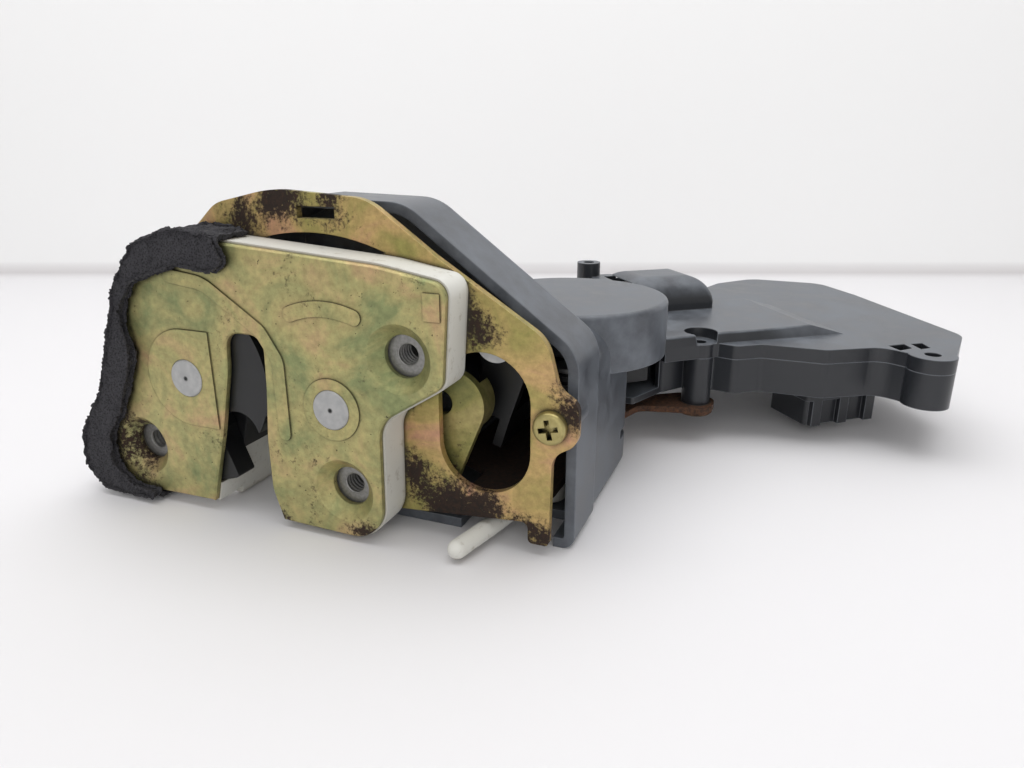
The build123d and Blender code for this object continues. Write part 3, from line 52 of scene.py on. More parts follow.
# stains, in mm: across, up, radius
FACE_STAINS = ((-84, 10, 19), (-5, 25, 10), (-16, 3, 9), (-38, 3, 5), (-86, 24, 6))
# the stain at (-4, 5), low between the body and the lever, is painted shadow as well as rust
BASE_STAINS = (
    (27, 34, 9), (21, 5, 8), (-9, 15, 12), (-8, 30, 7), (7, 6, 13), (-4, 5, 10),
    (1, 55, 12), (8, 46, 7), (-26, 73, 10), (-37, 73, 8), (-48, 71, 9), (-66, 60, 12),
)
LEVER_STAINS = ((-4, 12, 9),)
STAIN_LIFT = 0.38                    # what the middle of a stain adds to the rust mask
RUST_EDGE = (1.18, 1.33)             # rust mask where the film starts to go, and is gone
RUST_DARK = "#2A1C13"
RUST_LIGHT = "#70492F"
# painted shade for the creases
CREASE_SHADE = "#2B281E"
SHELF_FROM = -27.6                   # mm along Y: all of the base plate behind this is rusty shelf
SHELF_OUT = (18.0, 34.0)             # mm along Y: where the shelf comes out of the housing, and the painted shade on it fades
NO_SHELF = 1000.0                    # mm along Y, behind the whole part
SMOOTH_UP_TO = 35                    # degrees between faces that still look like one curve


def colour(hex_text):
    """Linear RGBA of an sRGB hex colour."""
    parts = [int(hex_text[i : i + 2], 16) / 255 for i in (1, 3, 5)]
    return [c / 12.92 if c <= 0.04045 else ((c + 0.055) / 1.055) ** 2.4 for c in parts] + [1.0]


def add(tree, kind, at, inputs=None, **settings):
    """New shader node at a place in the tree; inputs holds constants or sockets to link."""
    node = tree.nodes.new(kind)
    node.location = at
    for key, value in settings.items():
        setattr(node, key, value)
    for key, value in (inputs or {}).items():
        if isinstance(value, bpy.types.NodeSocket):
            tree.links.new(value, node.inputs[key])
        else:
            node.inputs[key].default_value = value
    return node


def finish_of(name):
    """New node material: the material, its tree, its shader and a position in millimetres."""
    material = bpy.data.materials.new(name)
    material.use_nodes = True
    tree = material.node_tree
    place = add(tree, "ShaderNodeTexCoord", (-2000, 0)).outputs["Object"]
    mm = add(tree, "ShaderNodeVectorMath", (-1800, 0),
             {0: place, 1: (1000, 1000, 1000)}, operation="MULTIPLY").outputs["Vector"]
    shader = tree.nodes["Principled BSDF"]
    shader.location = (400, 0)
    tree.nodes["Material Output"].location = (700, 0)
    return material, tree, shader, mm


def away_from(tree, mm, x, z, at):
    """Distance in millimetres, as seen from the front, from a place on the latch face."""
    seen = add(tree, "ShaderNodeVectorMath", at, {0: mm, 1: (1, 0, 1)}, operation="MULTIPLY").outputs[0]
    return add(tree, "ShaderNodeVectorMath", (at[0] + 200, at[1]),
               {0: seen, 1: (x, 0, z)}, operation="DISTANCE").outputs["Value"]


def paint(names, material):
    """Gives CAD nodes one finish, shaded smooth over gentle angles."""
    bpy.ops.object.select_all(action="DESELECT")
    for name in names:
        part = nodes[name]
        part.data.materials.clear()
        part.data.materials.append(material)
        part.select_set(True)
        bpy.context.view_layer.objects.active = part
    bpy.ops.object.shade_smooth_by_angle(angle=radians(SMOOTH_UP_TO))


def chromate(name, clouds, stains, shelf_from):
    """Yellow chromate on zinc, with rust in patches, in named stains and over the shelf."""
    material, tree, shader, mm = finish_of(name)
    # clouds a couple of centimetres wide slide the film from olive through khaki to pink
    cloud = add(tree, "ShaderNodeTexNoise", (-1500, 500),
                {"Vector": mm, "Scale": 0.06, "Detail": 5.0, "Roughness": 0.6,
                 "Distortion": 0.7}).outputs["Fac"]
    early = add(tree, "ShaderNodeMapRange", (-1250, 600),
                {"Value": cloud, "From Min": 0.36, "From Max": 0.52}).outputs[0]
    late = add(tree, "ShaderNodeMapRange", (-1250, 400),
               {"Value": cloud, "From Min": 0.52, "From Max": 0.68}).outputs[0]
    tint = add(tree, "ShaderNodeMix", (-1000, 600),
               {0: early, 6: colour(clouds[0]), 7: colour(clouds[1])}, data_type="RGBA").outputs[2]
    tint = add(tree, "ShaderNodeMix", (-800, 500),
               {0: late, 6: tint, 7: colour(clouds[2])}, data_type="RGBA").outputs[2]
    # a fine mottle, as handling and dust leave it, keeps the clouds from looking painted
    mottle = add(tree, "ShaderNodeTexNoise", (-1500, 200),
                 {"Vector": mm, "Scale": 0.6, "Detail": 7.0, "Roughness": 0.7}).outputs["Fac"]
    shade = add(tree, "ShaderNodeMapRange", (-1250, 200),
                {"Value": mottle, "From Min": 0.3, "From Max": 0.7, "To Min": 0.72,
                 "To Max": 1.18}).outputs[0]
    film = add(tree, "ShaderNodeVectorMath", (-600, 400),
               {0: tint, "Scale": shade}, operation="SCALE").outputs[0]
    # rust is a ragged speckle that wins where a broad patch or a stain lifts it
    speck = add(tree, "ShaderNodeTexNoise", (-1500, -100),
                {"Vector": mm, "Scale": 0.9, "Detail": 9.0, "Roughness": 0.75}).outputs["Fac"]
    patch = add(tree, "ShaderNodeTexNoise", (-1500, -300),
                {"Vector": mm, "Scale": 0.08, "Detail": 3.0}).outputs["Fac"]
    mask = add(tree, "ShaderNodeMath", (-1250, -200), {0: speck, 1: patch}, operation="ADD").outputs[0]
    for i, (x, z, radius) in enumerate(stains):
        row = -700 - 80 * i
        away = away_from(tree, mm, x, z, (-1250, row))
        near = add(tree, "ShaderNodeMapRange", (-850, row),
                   {"Value": away, "From Min": radius, "From Max": 0.0,
                    "To Max": STAIN_LIFT}).outputs[0]
        mask = add(tree, "ShaderNodeMath", (-650, row + 200),
                   {0: mask, 1: near}, operation="ADD").outputs[0]
    rusty = add(tree, "ShaderNodeMapRange", (-450, -300),
                {"Value": mask, "From Min": RUST_EDGE[0], "From Max": RUST_EDGE[1]}).outputs[0]
    # the shelf, with no film left on it, is rusty all over
    depth = add(tree, "ShaderNodeSeparateXYZ", (-1500, -500), {0: mm}).outputs[1]
    shelf = add(tree, "ShaderNodeMath", (-450, -500),
                {0: depth, 1: shelf_from}, operation="GREATER_THAN").outputs[0]
    rusty = add(tree, "ShaderNodeMath", (-250, -400),
                {0: rusty, 1: shelf}, operation="MAXIMUM").outputs[0]
    # single flecks of rust pepper the clean film
    fleck = add(tree, "ShaderNodeTexNoise", (-1500, -1700),
                {"Vector": mm, "Scale": 1.6, "Detail": 4.0}).outputs["Fac"]
    fleck = add(tree, "ShaderNodeMapRange", (-1250, -1700),
                {"Value": fleck, "From Min": 0.70, "From Max": 0.74}).outputs[0]
    rusty = add(tree, "ShaderNodeMath", (-50, -400),
                {0: rusty, 1: fleck}, operation="MAXIMUM").outputs[0]
    # rust runs from near black to orange brown, and painted shade darkens it on the shelf inside the
    # housing
    rust = add(tree, "ShaderNodeMapRange", (-1250, 0),
               {"Value": speck, "From Min": 0.4, "From Max": 0.7}).outputs[0]
    rust = add(tree, "ShaderNodeMix", (-600, 0),
               {0: rust, 6: colour(RUST_DARK), 7: colour(RUST_LIGHT)}, data_type="RGBA").outputs[2]
    unshaded_by_housing = add(tree, "ShaderNodeMapRange", (-450, 0),
                {"Value": depth, "From Min": SHELF_OUT[0], "From Max": SHELF_OUT[1],
                 "To Min": 0.25}).outputs[0]
    rust = add(tree, "ShaderNodeVectorMath", (-300, 0),
               {0: rust, "Scale": unshaded_by_housing}, operation="SCALE").outputs[0]
    surface = add(tree, "ShaderNodeMix", (-100, 300),
                  {0: rusty, 6: film, 7: rust}, data_type="RGBA").outputs[2]
    # painted shade darkens every crease within a millimetre or so and draws the stamped lines
    open_sky = add(tree, "ShaderNodeAmbientOcclusion", (-300, 600),
                   {"Distance": 0.0014}, samples=8).outputs["AO"]
    clean_and_unshaded = add(tree, "ShaderNodeMapRange", (-100, 600),
                {"Value": open_sky, "From Min": 0.45, "From Max": 0.92}).outputs[0]
    surface = add(tree, "ShaderNodeMix", (100, 400),
                  {0: clean_and_unshaded, 6: colour(CREASE_SHADE), 7: surface}, data_type="RGBA").outputs[2]
    tree.links.new(surface, shader.inputs["Base Color"])
    # the film shines like metal, and rust is dull
    metal = add(tree, "ShaderNodeMapRange", (100, 0),
                {"Value": rusty, "To Min": 0.6, "To Max": 0.0}).outputs[0]
    tree.links.new(metal, shader.inputs["Metallic"])
    rough = add(tree, "ShaderNodeMapRange", (100, -200),
                {"Value": rusty, "To Min": 0.42, "To Max": 0.85}).outputs[0]
    tree.links.new(rough, shader.inputs["Roughness"])
    # sheared edges catch a thin line of light, and the speckle gives a little tooth
    rounded = add(tree, "ShaderNodeBevel", (-100, -700), {"Radius": 0.0003}, samples=6).outputs[0]
    bump = add(tree, "ShaderNodeBump", (100, -600),
               {"Strength": 0.3, "Distance": 0.0002, "Height": speck, "Normal": rounded}).outputs[0]
    tree.links.new(bump, shader.inputs["Normal"])
    return material


paint(["face_plate"], chromate("face_chromate", FACE_CLOUDS, FACE_STAINS, NO_SHELF))
paint(["base_plate"], chromate("base_chromate", BASE_CLOUDS, BASE_STAINS, SHELF_FROM))
paint(["opening_lever"], chromate("lever_chromate", LEVER_CLOUDS, LEVER_STAINS, NO_SHELF))

# ---------------------------------------------------------------- fork pin and pawl pin
# Turned steel pins, staked flush in the face plate, each with a small centre punch. The pins of
# the levers and gears inside are the same pale, dull zinc.
ZINC_DARK = "#8C8D8F"
ZINC_PALE = "#C2C2C0"
# painted shade of the centre punches
PUNCH_SHADE = "#222222"
PUNCH_R = 0.55                       # mm
PIN_CENTRES = ((-60.4, 33.1), (-22.2, 30.7))         # mm, across and up

zinc, tree, shader, mm = finish_of("dull_zinc")
# soft grey clouds of oxide
cloud = add(tree, "ShaderNodeTexNoise", (-1200, 0),
            {"Vector": mm, "Scale": 0.5, "Detail": 4.0}).outputs["Fac"]
base = add(tree, "ShaderNodeMix", (-900, 100),
           {0: cloud, 6: colour(ZINC_DARK), 7: colour(ZINC_PALE)}, data_type="RGBA").outputs[2]
# a dot of painted shade in the middle of each staked head stands for its centre punch
for i, (x, z) in enumerate(PIN_CENTRES):
    away = away_from(tree, mm, x, z, (-1300, -300 - 200 * i))
    clear = add(tree, "ShaderNodeMapRange", (-900, -300 - 200 * i),
                {"Value": away, "From Min": PUNCH_R * 0.6, "From Max": PUNCH_R * 1.3}).outputs[0]
    base = add(tree, "ShaderNodeMix", (-600 + 200 * i, 100),
               {0: clear, 6: colour(PUNCH_SHADE), 7: base}, data_type="RGBA").outputs[2]
tree.links.new(base, shader.inputs["Base Color"])
shader.inputs["Metallic"].default_value = 0.55
shader.inputs["Roughness"].default_value = 0.45
paint(["fork_pin", "pawl_pin", "lever_pin", "sector_pin", "wheel_pin", "lock_lever_pin"], zinc)

# ---------------------------------------------------------------- threaded bushes
# Three turned steel bushes, pressed in behind the dished seats of the face plate. Each bore
# carries a cut M6 thread, which shows as rings down the hole.
BUSH_AXES = ((-5.8, 43.3), (-20.7, 12.2), (-77.2, 14.0))     # mm, across and up
THREAD_R = 0.00245
THREAD_H = 0.0003
THREAD_PITCH = 0.001
THREAD_TURNS = 6
THREAD_FRONT = -0.0350
STEEL_DARK = "#6A6967"
STEEL_PALE = "#A3A2A0"

steel, tree, shader, mm = finish_of("oiled_steel")
# streaks of oil half a millimetre wide dull the bright metal
grain = add(tree, "ShaderNodeTexNoise", (-1200, 0),
            {"Vector": mm, "Scale": 1.5, "Detail": 4.0}).outputs["Fac"]
base = add(tree, "ShaderNodeMix", (-900, 100),
           {0: grain, 6: colour(STEEL_DARK), 7: colour(STEEL_PALE)}, data_type="RGBA").outputs[2]
tree.links.new(base, shader.inputs["Base Color"])
shader.inputs["Metallic"].default_value = 0.7
shader.inputs["Roughness"].default_value = 0.4
paint(["threaded_bushes", "motor_shaft"], steel)

rings = []
for x, z in BUSH_AXES:
    bpy.ops.mesh.primitive_torus_add(
        major_radius=THREAD_R, minor_radius=THREAD_H, major_segments=48, minor_segments=8,
        location=(x / 1000, THREAD_FRONT, z / 1000), rotation=(radians(90), 0, 0),
    )
    ring = bpy.context.object
    row = ring.modifiers.new("thread_rows", "ARRAY")
    row.count = THREAD_TURNS
    row.use_relative_offset = False
    row.use_constant_offset = True
    row.constant_offset_displace = (0, 0, -THREAD_PITCH)
    bpy.ops.object.modifier_apply(modifier=row.name)
    rings.append(ring)
bpy.ops.object.select_all(action="DESELECT")
for ring in rings:
    ring.select_set(True)
bpy.context.view_layer.objects.active = rings[0]
bpy.ops.object.join()
threads = bpy.context.object
threads.name = "bush_threads"
bpy.ops.object.transform_apply(location=True, rotation=True, scale=True)
bpy.ops.object.shade_smooth_by_angle(angle=radians(SMOOTH_UP_TO))
threads.data.materials.append(steel)
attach(threads, "latch")

# ---------------------------------------------------------------- base plate screw and shelf rivet
# A pan-head screw in bright yellow chromate holds the plates to the lever housing. The rivet
# under the case boss is plain steel, brown with rust.
SCREW_DARK = "#8A7C4A"
SCREW_PALE = "#BDB27C"
# painted shade for the recesses
SCREW_RECESS_SHADE = "#17130D"
RIVET_PALE = "#7C5B42"

screw, tree, shader, mm = finish_of("screw_chromate")
# patches a millimetre wide where the driver and the years rubbed the film
grain = add(tree, "ShaderNodeTexNoise", (-1200, 0),
            {"Vector": mm, "Scale": 0.8, "Detail": 5.0}).outputs["Fac"]
base = add(tree, "ShaderNodeMix", (-900, 100),
           {0: grain, 6: colour(SCREW_DARK), 7: colour(SCREW_PALE)}, data_type="RGBA").outputs[2]
# painted shade, near black, in the cross and the other recesses
open_sky = add(tree, "ShaderNodeAmbientOcclusion", (-900, -200),
               {"Distance": 0.0012}, samples=8).outputs["AO"]
clean_and_unshaded = add(tree, "ShaderNodeMapRange", (-700, -200),
            {"Value": open_sky, "From Min": 0.4, "From Max": 0.85}).outputs[0]
base = add(tree, "ShaderNodeMix", (-500, 100),
           {0: clean_and_unshaded, 6: colour(SCREW_RECESS_SHADE), 7: base}, data_type="RGBA").outputs[2]
tree.links.new(base, shader.inputs["Base Color"])
shader.inputs["Metallic"].default_value = 0.75
shader.inputs["Roughness"].default_value = 0.35
paint(["base_screw"], screw)

rust, tree, shader, mm = finish_of("rusty_steel")
# a grainy crust, dark in its pits and orange brown on its peaks
grain = add(tree, "ShaderNodeTexNoise", (-1200, 0),
            {"Vector": mm, "Scale": 0.7, "Detail": 9.0, "Roughness": 0.75}).outputs["Fac"]
grain = add(tree, "ShaderNodeMapRange", (-1000, 0),
            {"Value": grain, "From Min": 0.38, "From Max": 0.68}).outputs[0]
base = add(tree, "ShaderNodeMix", (-700, 100),
           {0: grain, 6: colour(RUST_DARK), 7: colour(RIVET_PALE)}, data_type="RGBA").outputs[2]
tree.links.new(base, shader.inputs["Base Color"])
shader.inputs["Roughness"].default_value = 0.85
bump = add(tree, "ShaderNodeBump", (-400, -300),
           {"Strength": 0.5, "Distance": 0.0003, "Height": grain}).outputs[0]
tree.links.new(bump, shader.inputs["Normal"])
paint(["boss_rivet"], rust)

# ---------------------------------------------------------------- latch body and child lock lever
# Natural acetal mouldings, off-white and slightly waxy. Grime blots them, painted shade darkens
# their corners, and painted shade blackens the walls of the striker slot above its mouth.
# the dirty colour serves both the grime and the painted shade in corners
WHITE_CLEAN = "#D4D3CC"
WHITE_GRIME_AND_SHADE = "#A39C8E"
# painted shade inside the striker slot
SLOT_SHADE = "#0C0D10"
SLOT_X = (-57.0, -38.6)              # mm, the sides of the painted slot shade
SLOT_Z = (14.0, 46.0)                # mm, its bottom and top
SLOT_Y = -37.4                       # mm, its front

white, tree, shader, mm = finish_of("natural_acetal")
# grime lies in blots of a few millimetres, and painted shade darkens wherever a corner shades the
# surface
grime = add(tree, "ShaderNodeTexNoise", (-1500, 200),
            {"Vector": mm, "Scale": 0.35, "Detail": 8.0, "Roughness": 0.72}).outputs["Fac"]
clean_and_unshaded = add(tree, "ShaderNodeMapRange", (-1250, 200),
            {"Value": grime, "From Min": 0.26, "From Max": 0.44}).outputs[0]
open_sky = add(tree, "ShaderNodeAmbientOcclusion", (-1500, 500),
               {"Distance": 0.002}, samples=8).outputs["AO"]
unshaded = add(tree, "ShaderNodeMapRange", (-1250, 500),
            {"Value": open_sky, "From Min": 0.35, "From Max": 0.85}).outputs[0]
clean_and_unshaded = add(tree, "ShaderNodeMath", (-1000, 300), {0: clean_and_unshaded, 1: unshaded}, operation="MULTIPLY").outputs[0]
base = add(tree, "ShaderNodeMix", (-800, 200),
           {0: clean_and_unshaded, 6: colour(WHITE_GRIME_AND_SHADE), 7: colour(WHITE_CLEAN)}, data_type="RGBA").outputs[2]
# painted shade fills a box round the striker slot with near black
place = add(tree, "ShaderNodeSeparateXYZ", (-1500, -200), {0: mm})
slot_shaded = add(tree, "ShaderNodeMath", (-1250, -200),
             {0: place.outputs[1], 1: SLOT_Y}, operation="GREATER_THAN").outputs[0]
slot_sides = (
    (0, SLOT_X[0], "GREATER_THAN"),
    (0, SLOT_X[1], "LESS_THAN"),
    (2, SLOT_Z[0], "GREATER_THAN"),
    (2, SLOT_Z[1], "LESS_THAN"),
)
for i, (axis, limit, test) in enumerate(slot_sides):
    row = -350 - 150 * i
    passed = add(tree, "ShaderNodeMath", (-1250, row),
                 {0: place.outputs[axis], 1: limit}, operation=test).outputs[0]
    slot_shaded = add(tree, "ShaderNodeMath", (-1000, row + 100),
                 {0: slot_shaded, 1: passed}, operation="MULTIPLY").outputs[0]
base = add(tree, "ShaderNodeMix", (-500, 100),
           {0: slot_shaded, 6: base, 7: colour(SLOT_SHADE)}, data_type="RGBA").outputs[2]
tree.links.new(base, shader.inputs["Base Color"])
shader.inputs["Roughness"].default_value = 0.5
# moulded edges are a little round
rounded = add(tree, "ShaderNodeBevel", (-500, -400), {"Radius": 0.0004}, samples=6).outputs[0]
tree.links.new(rounded, shader.inputs["Normal"])
paint(["latch_body", "child_lock_lever"], white)

# ---------------------------------------------------------------- foam seal
# Open-cell foam glued round the latch, crumbling and torn along its edges. The torn piece is a
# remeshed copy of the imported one, eaten inwards by two sizes of noise.
FOAM_CELL = 0.0004
FOAM_BITES = ((0.004, 0.0016), (0.0009, 0.0007))     # width of the bites and their depth
FOAM_DARK = "#121214"
FOAM_PALE = "#363539"

bpy.ops.object.select_all(action="DESELECT")
nodes["foam_seal"].select_set(True)
bpy.context.view_layer.objects.active = nodes["foam_seal"]
bpy.ops.object.duplicate()
torn = bpy.context.object
torn.name = "torn_foam"
bpy.ops.object.mode_set(mode="EDIT")
bpy.ops.mesh.select_all(action="SELECT")
bpy.ops.mesh.remove_doubles(threshold=0.00001)
bpy.ops.object.mode_set(mode="OBJECT")
remesh = torn.modifiers.new("cells", "REMESH")
remesh.mode = "VOXEL"
remesh.voxel_size = FOAM_CELL
bpy.ops.object.modifier_apply(modifier=remesh.name)
for i, (size, depth) in enumerate(FOAM_BITES):
    noise = bpy.data.textures.new(f"foam_bites_{i}", "CLOUDS")
    noise.noise_scale = size
    noise.noise_depth = 3
    bite = torn.modifiers.new(f"bites_{i}", "DISPLACE")
    bite.texture = noise
    bite.texture_coords = "LOCAL"
    bite.mid_level = 0.9
    bite.strength = depth
    bpy.ops.object.modifier_apply(modifier=bite.name)
bpy.ops.object.shade_flat()
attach(torn, "latch")
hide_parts("foam_seal")

foam, tree, shader, mm = finish_of("black_foam")
# open cells about half a millimetre wide, black in the middle and grey on their walls
cells = add(tree, "ShaderNodeTexVoronoi", (-1200, 0), {"Vector": mm, "Scale": 2.2}).outputs["Distance"]
cells = add(tree, "ShaderNodeMapRange", (-1000, 0),
            {"Value": cells, "From Min": 0.1, "From Max": 0.6}).outputs[0]
base = add(tree, "ShaderNodeMix", (-700, 100),
           {0: cells, 6: colour(FOAM_DARK), 7: colour(FOAM_PALE)}, data_type="RGBA").outputs[2]
tree.links.new(base, shader.inputs["Base Color"])
shader.inputs["Roughness"].default_value = 0.95
torn.data.materials.clear()
torn.data.materials.append(foam)
paint(["foam_seal"], foam)

# ---------------------------------------------------------------- lever housing, motor case and cover
# Mouldings in black glass-filled nylon, under a painted dry blue-grey sheen. Dust and painted light sit
# on the upper faces, and every edge is painted a little pale, as highlight and rubbed wear. The sides
# of the motor case have no dust and are painted in shade.
NYLON_SIDE_SHADE = "#26282C"              # painted shade on upright faces without dust
NYLON_DARK = "#3E4147"
# dust, with painted sheen
NYLON_DUST_AND_SHEEN = "#646970"
# painted edge highlight, with some wear
NYLON_EDGE_HIGHLIGHT_AND_WEAR = "#858A92"


def nylon(name, side_light_and_dust):
    """Black nylon under dust and painted sheen; the argument is the share of the dust and the painted
    top light that upright faces keep, the rest being painted side shade.
    """
    material, tree, shader, mm = finish_of(name)
    # cloudy dust and painted sheen, with painted top light that is thin on the upright faces, turn
    # black to a dry grey; bare upright faces get painted shade
    dust_sheen_and_top_light = add(tree, "ShaderNodeTexNoise", (-1500, 200),
               {"Vector": mm, "Scale": 0.12, "Detail": 7.0, "Roughness": 0.62}).outputs["Fac"]
    dust_sheen_and_top_light = add(tree, "ShaderNodeMapRange", (-1250, 200),
               {"Value": dust_sheen_and_top_light, "From Min": 0.32, "From Max": 0.68}).outputs[0]
    facing = add(tree, "ShaderNodeTexCoord", (-1700, 500)).outputs["Normal"]
    upward = add(tree, "ShaderNodeSeparateXYZ", (-1500, 500), {0: facing}).outputs[2]
    top_light_and_dust_share = add(tree, "ShaderNodeMapRange", (-1250, 500),
               {"Value": upward, "From Min": 0.2, "From Max": 0.7, "To Min": side_light_and_dust}).outputs[0]
    dust_sheen_and_top_light = add(tree, "ShaderNodeMath", (-1050, 350),
               {0: dust_sheen_and_top_light, 1: top_light_and_dust_share}, operation="MULTIPLY").outputs[0]
    shade = add(tree, "ShaderNodeMix", (-1050, 600),
                {0: top_light_and_dust_share, 6: colour(NYLON_SIDE_SHADE), 7: colour(NYLON_DARK)}, data_type="RGBA").outputs[2]
    base = add(tree, "ShaderNodeMix", (-800, 200),
               {0: dust_sheen_and_top_light, 6: shade, 7: colour(NYLON_DUST_AND_SHEEN)}, data_type="RGBA").outputs[2]
    # edges are painted pale, a painted highlight with some rubbed wear: there the rounded normal leaves
    # the true one
    rounded = add(tree, "ShaderNodeBevel", (-1250, -300), {"Radius": 0.0005}, samples=8).outputs[0]
    true_normal = add(tree, "ShaderNodeNewGeometry", (-1250, -500)).outputs["True Normal"]
    turned = add(tree, "ShaderNodeVectorMath", (-1000, -400),
                 {0: rounded, 1: true_normal}, operation="DOT_PRODUCT").outputs["Value"]
    edge_highlight_and_wear = add(tree, "ShaderNodeMapRange", (-800, -400),
                 {"Value": turned, "From Min": 0.97, "From Max": 0.80, "To Max": 0.6}).outputs[0]
    open_sky = add(tree, "ShaderNodeAmbientOcclusion", (-1000, -650),
                   {"Distance": 0.001}, samples=6).outputs["AO"]
    edge_highlight_and_wear = add(tree, "ShaderNodeMath", (-600, -450),
                 {0: edge_highlight_and_wear, 1: open_sky}, operation="MULTIPLY").outputs[0]
    base = add(tree, "ShaderNodeMix", (-500, 200),
               {0: edge_highlight_and_wear, 6: base, 7: colour(NYLON_EDGE_HIGHLIGHT_AND_WEAR)}, data_type="RGBA").outputs[2]
    tree.links.new(base, shader.inputs["Base Color"])
    # where dust, painted sheen and painted top light lie, the surface is rougher
    rough = add(tree, "ShaderNodeMapRange", (-500, -100),
                {"Value": dust_sheen_and_top_light, "To Min": 0.3, "To Max": 0.48}).outputs[0]
    tree.links.new(rough, shader.inputs["Roughness"])
    # a fine moulded grain breaks up the highlights
    grain = add(tree, "ShaderNodeTexNoise", (-800, -900),
                {"Vector": mm, "Scale": 2.0, "Detail": 4.0}).outputs["Fac"]
    bump = add(tree, "ShaderNodeBump", (-400, -800),
               {"Strength": 0.2, "Distance": 0.0001, "Height": grain, "Normal": rounded}).outputs[0]
    tree.links.new(bump, shader.inputs["Normal"])
    return material


paint(["main_housing"], nylon("black_nylon", 1.0))
# the motor case and cover are a shaded copy: painted shade on their sides, painted light on their tops
paint(["actuator_case", "actuator_cover"], nylon("shade_sided_nylon", 0.0))

# ---------------------------------------------------------------- hidden works
# The fork, the pawl, the striker bumper and the lock levers are black with grease, and kept near black
# as painted shade inside the striker slot and behind the window. The worm wheel is natural acetal like
# the body, and the motor, its spring and terminals are plated.
# grease black that also paints the shade inside the slot and the window
GREASE_AND_SHADE_BLACK = "#111214"

satin, tree, shader, mm = finish_of("greased_and_shaded_black")
shader.inputs["Base Color"].default_value = colour(GREASE_AND_SHADE_BLACK)
shader.inputs["Roughness"].default_value = 0.4
paint(["fork", "pawl", "lock_lever", "lock_sector", "striker_bumper", "motor_end_cap"], satin)
paint(["worm_wheel"], white)
paint(["motor", "connector_terminals", "fork_spring"], zinc)

# ---------------------------------------------------------------- stage
# A pale table that bends up into a pale wall behind the latch, square to the camera's heading.
# The wall shows its front only, so the latch can be looked at from behind too.
TABLE_W, TABLE_FRONT, WALL_AT, WALL_H = 3.0, -0.9, 0.29, 1.2
HEADING = 21.65                      # degrees, the way the camera looks
BEND_R = 0.008
BEND_TOP = 10.0                      # mm up the wall, where the painted shade at its foot ends
TABLE_PALE = "#E2E1E3"
# painted shade along the bend
BEND_SHADE = "#CBC8C9"
WALL_PALE = "#F3F3F3"

bpy.ops.mesh.primitive_plane_add(size=1, location=(0, (TABLE_FRONT + WALL_AT) / 2, 0))
table = bpy.context.object
table.name = "studio_table"
table.scale = (TABLE_W, WALL_AT - TABLE_FRONT, 1)
bpy.ops.object.transform_apply(location=True, rotation=True, scale=True)
bpy.ops.object.mode_set(mode="EDIT")
bpy.ops.mesh.select_mode(type="EDGE")
bpy.ops.mesh.select_all(action="DESELECT")
bpy.ops.object.mode_set(mode="OBJECT")
for edge in table.data.edges:
    edge.select = all(table.data.vertices[v].co.y > WALL_AT - 0.001 for v in edge.vertices)
bpy.ops.object.mode_set(mode="EDIT")
bpy.ops.mesh.extrude_region_move(TRANSFORM_OT_translate={"value": (0, 0, WALL_H)})
bpy.ops.object.mode_set(mode="OBJECT")
curve = table.modifiers.new("soft_corner", "BEVEL")
curve.width = BEND_R
curve.segments = 6
curve.limit_method = "ANGLE"
bpy.ops.object.modifier_apply(modifier=curve.name)
table.rotation_euler = (0, 0, radians(HEADING))
bpy.ops.object.transform_apply(location=True, rotation=True, scale=True)
bpy.ops.object.shade_smooth()

table_paint, tree, shader, mm = finish_of("table_white")
# three plain greys by height: the table, a painted shade at the foot of the bend, and the wall
height = add(tree, "ShaderNodeSeparateXYZ", (-1200, 0), {0: mm}).outputs[2]
bend_shade = add(tree, "ShaderNodeMapRange", (-1000, 100),
           {"Value": height, "From Min": 0.0, "From Max": BEND_TOP / 3}).outputs[0]
wall = add(tree, "ShaderNodeMapRange", (-1000, -100),
           {"Value": height, "From Min": BEND_TOP / 3, "From Max": BEND_TOP}).outputs[0]
base = add(tree, "ShaderNodeMix", (-700, 100),
           {0: bend_shade, 6: colour(TABLE_PALE), 7: colour(BEND_SHADE)}, data_type="RGBA").outputs[2]
base = add(tree, "ShaderNodeMix", (-500, 0),
           {0: wall, 6: base, 7: colour(WALL_PALE)}, data_type="RGBA").outputs[2]
tree.links.new(base, shader.inputs["Base Color"])
shader.inputs["Roughness"].default_value = 0.6
# from behind, the wall isn't there
behind = add(tree, "ShaderNodeNewGeometry", (0, 300)).outputs["Backfacing"]
clear = add(tree, "ShaderNodeBsdfTransparent", (400, -400)).outputs[0]
one_sided = add(tree, "ShaderNodeMixShader", (700, 200),
                {0: behind, 1: shader.outputs[0], 2: clear}).outputs[0]
tree.nodes["Material Output"].location = (900, 200)
tree.links.new(one_sided, tree.nodes["Material Output"].inputs["Surface"])
table.data.materials.append(table_paint)

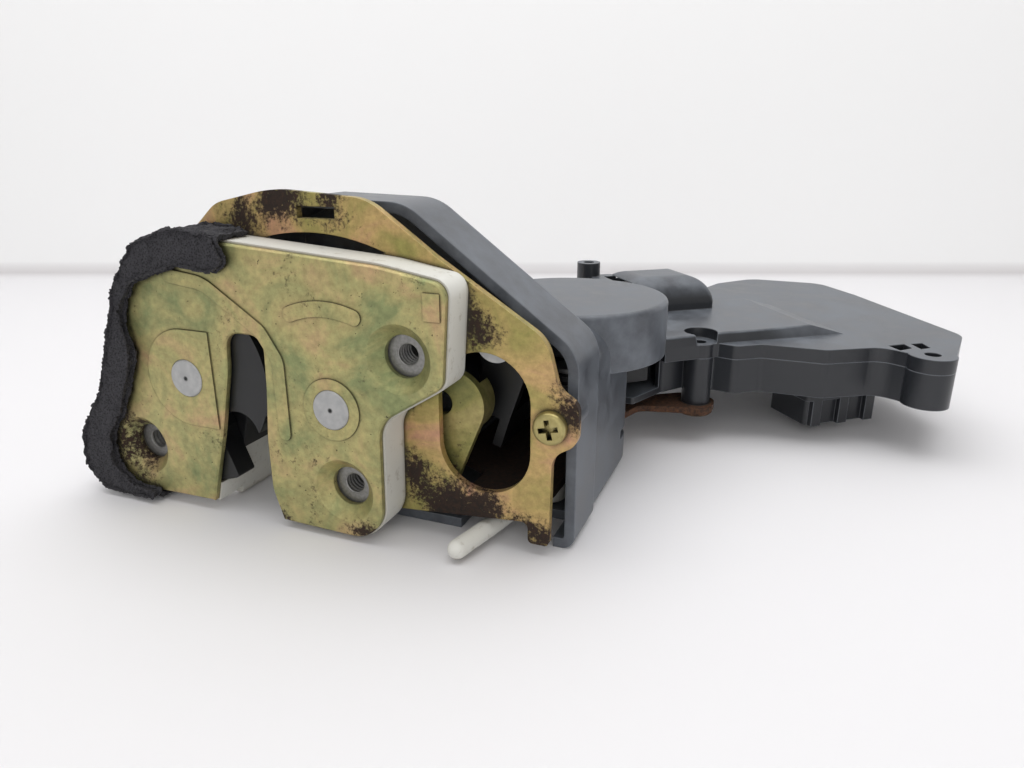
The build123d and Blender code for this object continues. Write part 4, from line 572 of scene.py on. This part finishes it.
# ---------------------------------------------------------------- lights
# An even white room with one soft box above and a little behind, and a weak fill at the front.
# The camera sees the room greyer than the light it gives.
ROOM_LIGHT, ROOM_STRENGTH = "#F2F1F0", 0.69
ROOM_SEEN, SEEN_STRENGTH = "#E6E4E4", 0.85
KEY_WATTS = 3.8
FILL_WATTS = 1.6

world = bpy.data.worlds.new("studio")
bpy.context.scene.world = world
world.use_nodes = True
tree = world.node_tree
path = add(tree, "ShaderNodeLightPath", (-700, 300)).outputs["Is Camera Ray"]
lit = add(tree, "ShaderNodeBackground", (-300, -100),
          {"Color": colour(ROOM_LIGHT), "Strength": ROOM_STRENGTH}).outputs[0]
seen = add(tree, "ShaderNodeBackground", (-300, 100),
           {"Color": colour(ROOM_SEEN), "Strength": SEEN_STRENGTH}).outputs[0]
both = add(tree, "ShaderNodeMixShader", (-100, 0), {0: path, 1: lit, 2: seen}).outputs[0]
tree.links.new(both, tree.nodes["World Output"].inputs["Surface"])

bpy.ops.object.light_add(type="AREA", location=(-0.05, 0.05, 0.7), rotation=(0, radians(-4), 0))
key = bpy.context.object
key.name = "key_softbox"
key.data.shape = "RECTANGLE"
key.data.size = 0.9
key.data.size_y = 0.6
key.data.energy = KEY_WATTS
bpy.ops.object.light_add(type="AREA", location=(0.2, -0.8, 0.35), rotation=(radians(70), 0,
radians(12)))
fill = bpy.context.object
fill.name = "front_fill"
fill.data.size = 0.8
fill.data.energy = FILL_WATTS

# ---------------------------------------------------------------- camera
# Low in front of the latch and to the right of its face, turned left and tipped down to the table.
CAMERA_AT = (0.066, -0.160, 0.085)
TIPPED = 71.4                        # degrees up from straight down

bpy.ops.object.camera_add(location=CAMERA_AT, rotation=(radians(TIPPED), 0, radians(HEADING)))
camera = bpy.context.object
camera.name = "main_view"
camera.data.lens = 26.02
camera.data.sensor_width = 36.0
camera.data.clip_start = 0.01
bpy.context.scene.camera = camera
bpy.context.scene.render.resolution_x = 1024
bpy.context.scene.render.resolution_y = 768
bpy.context.scene.view_settings.view_transform = "Standard"
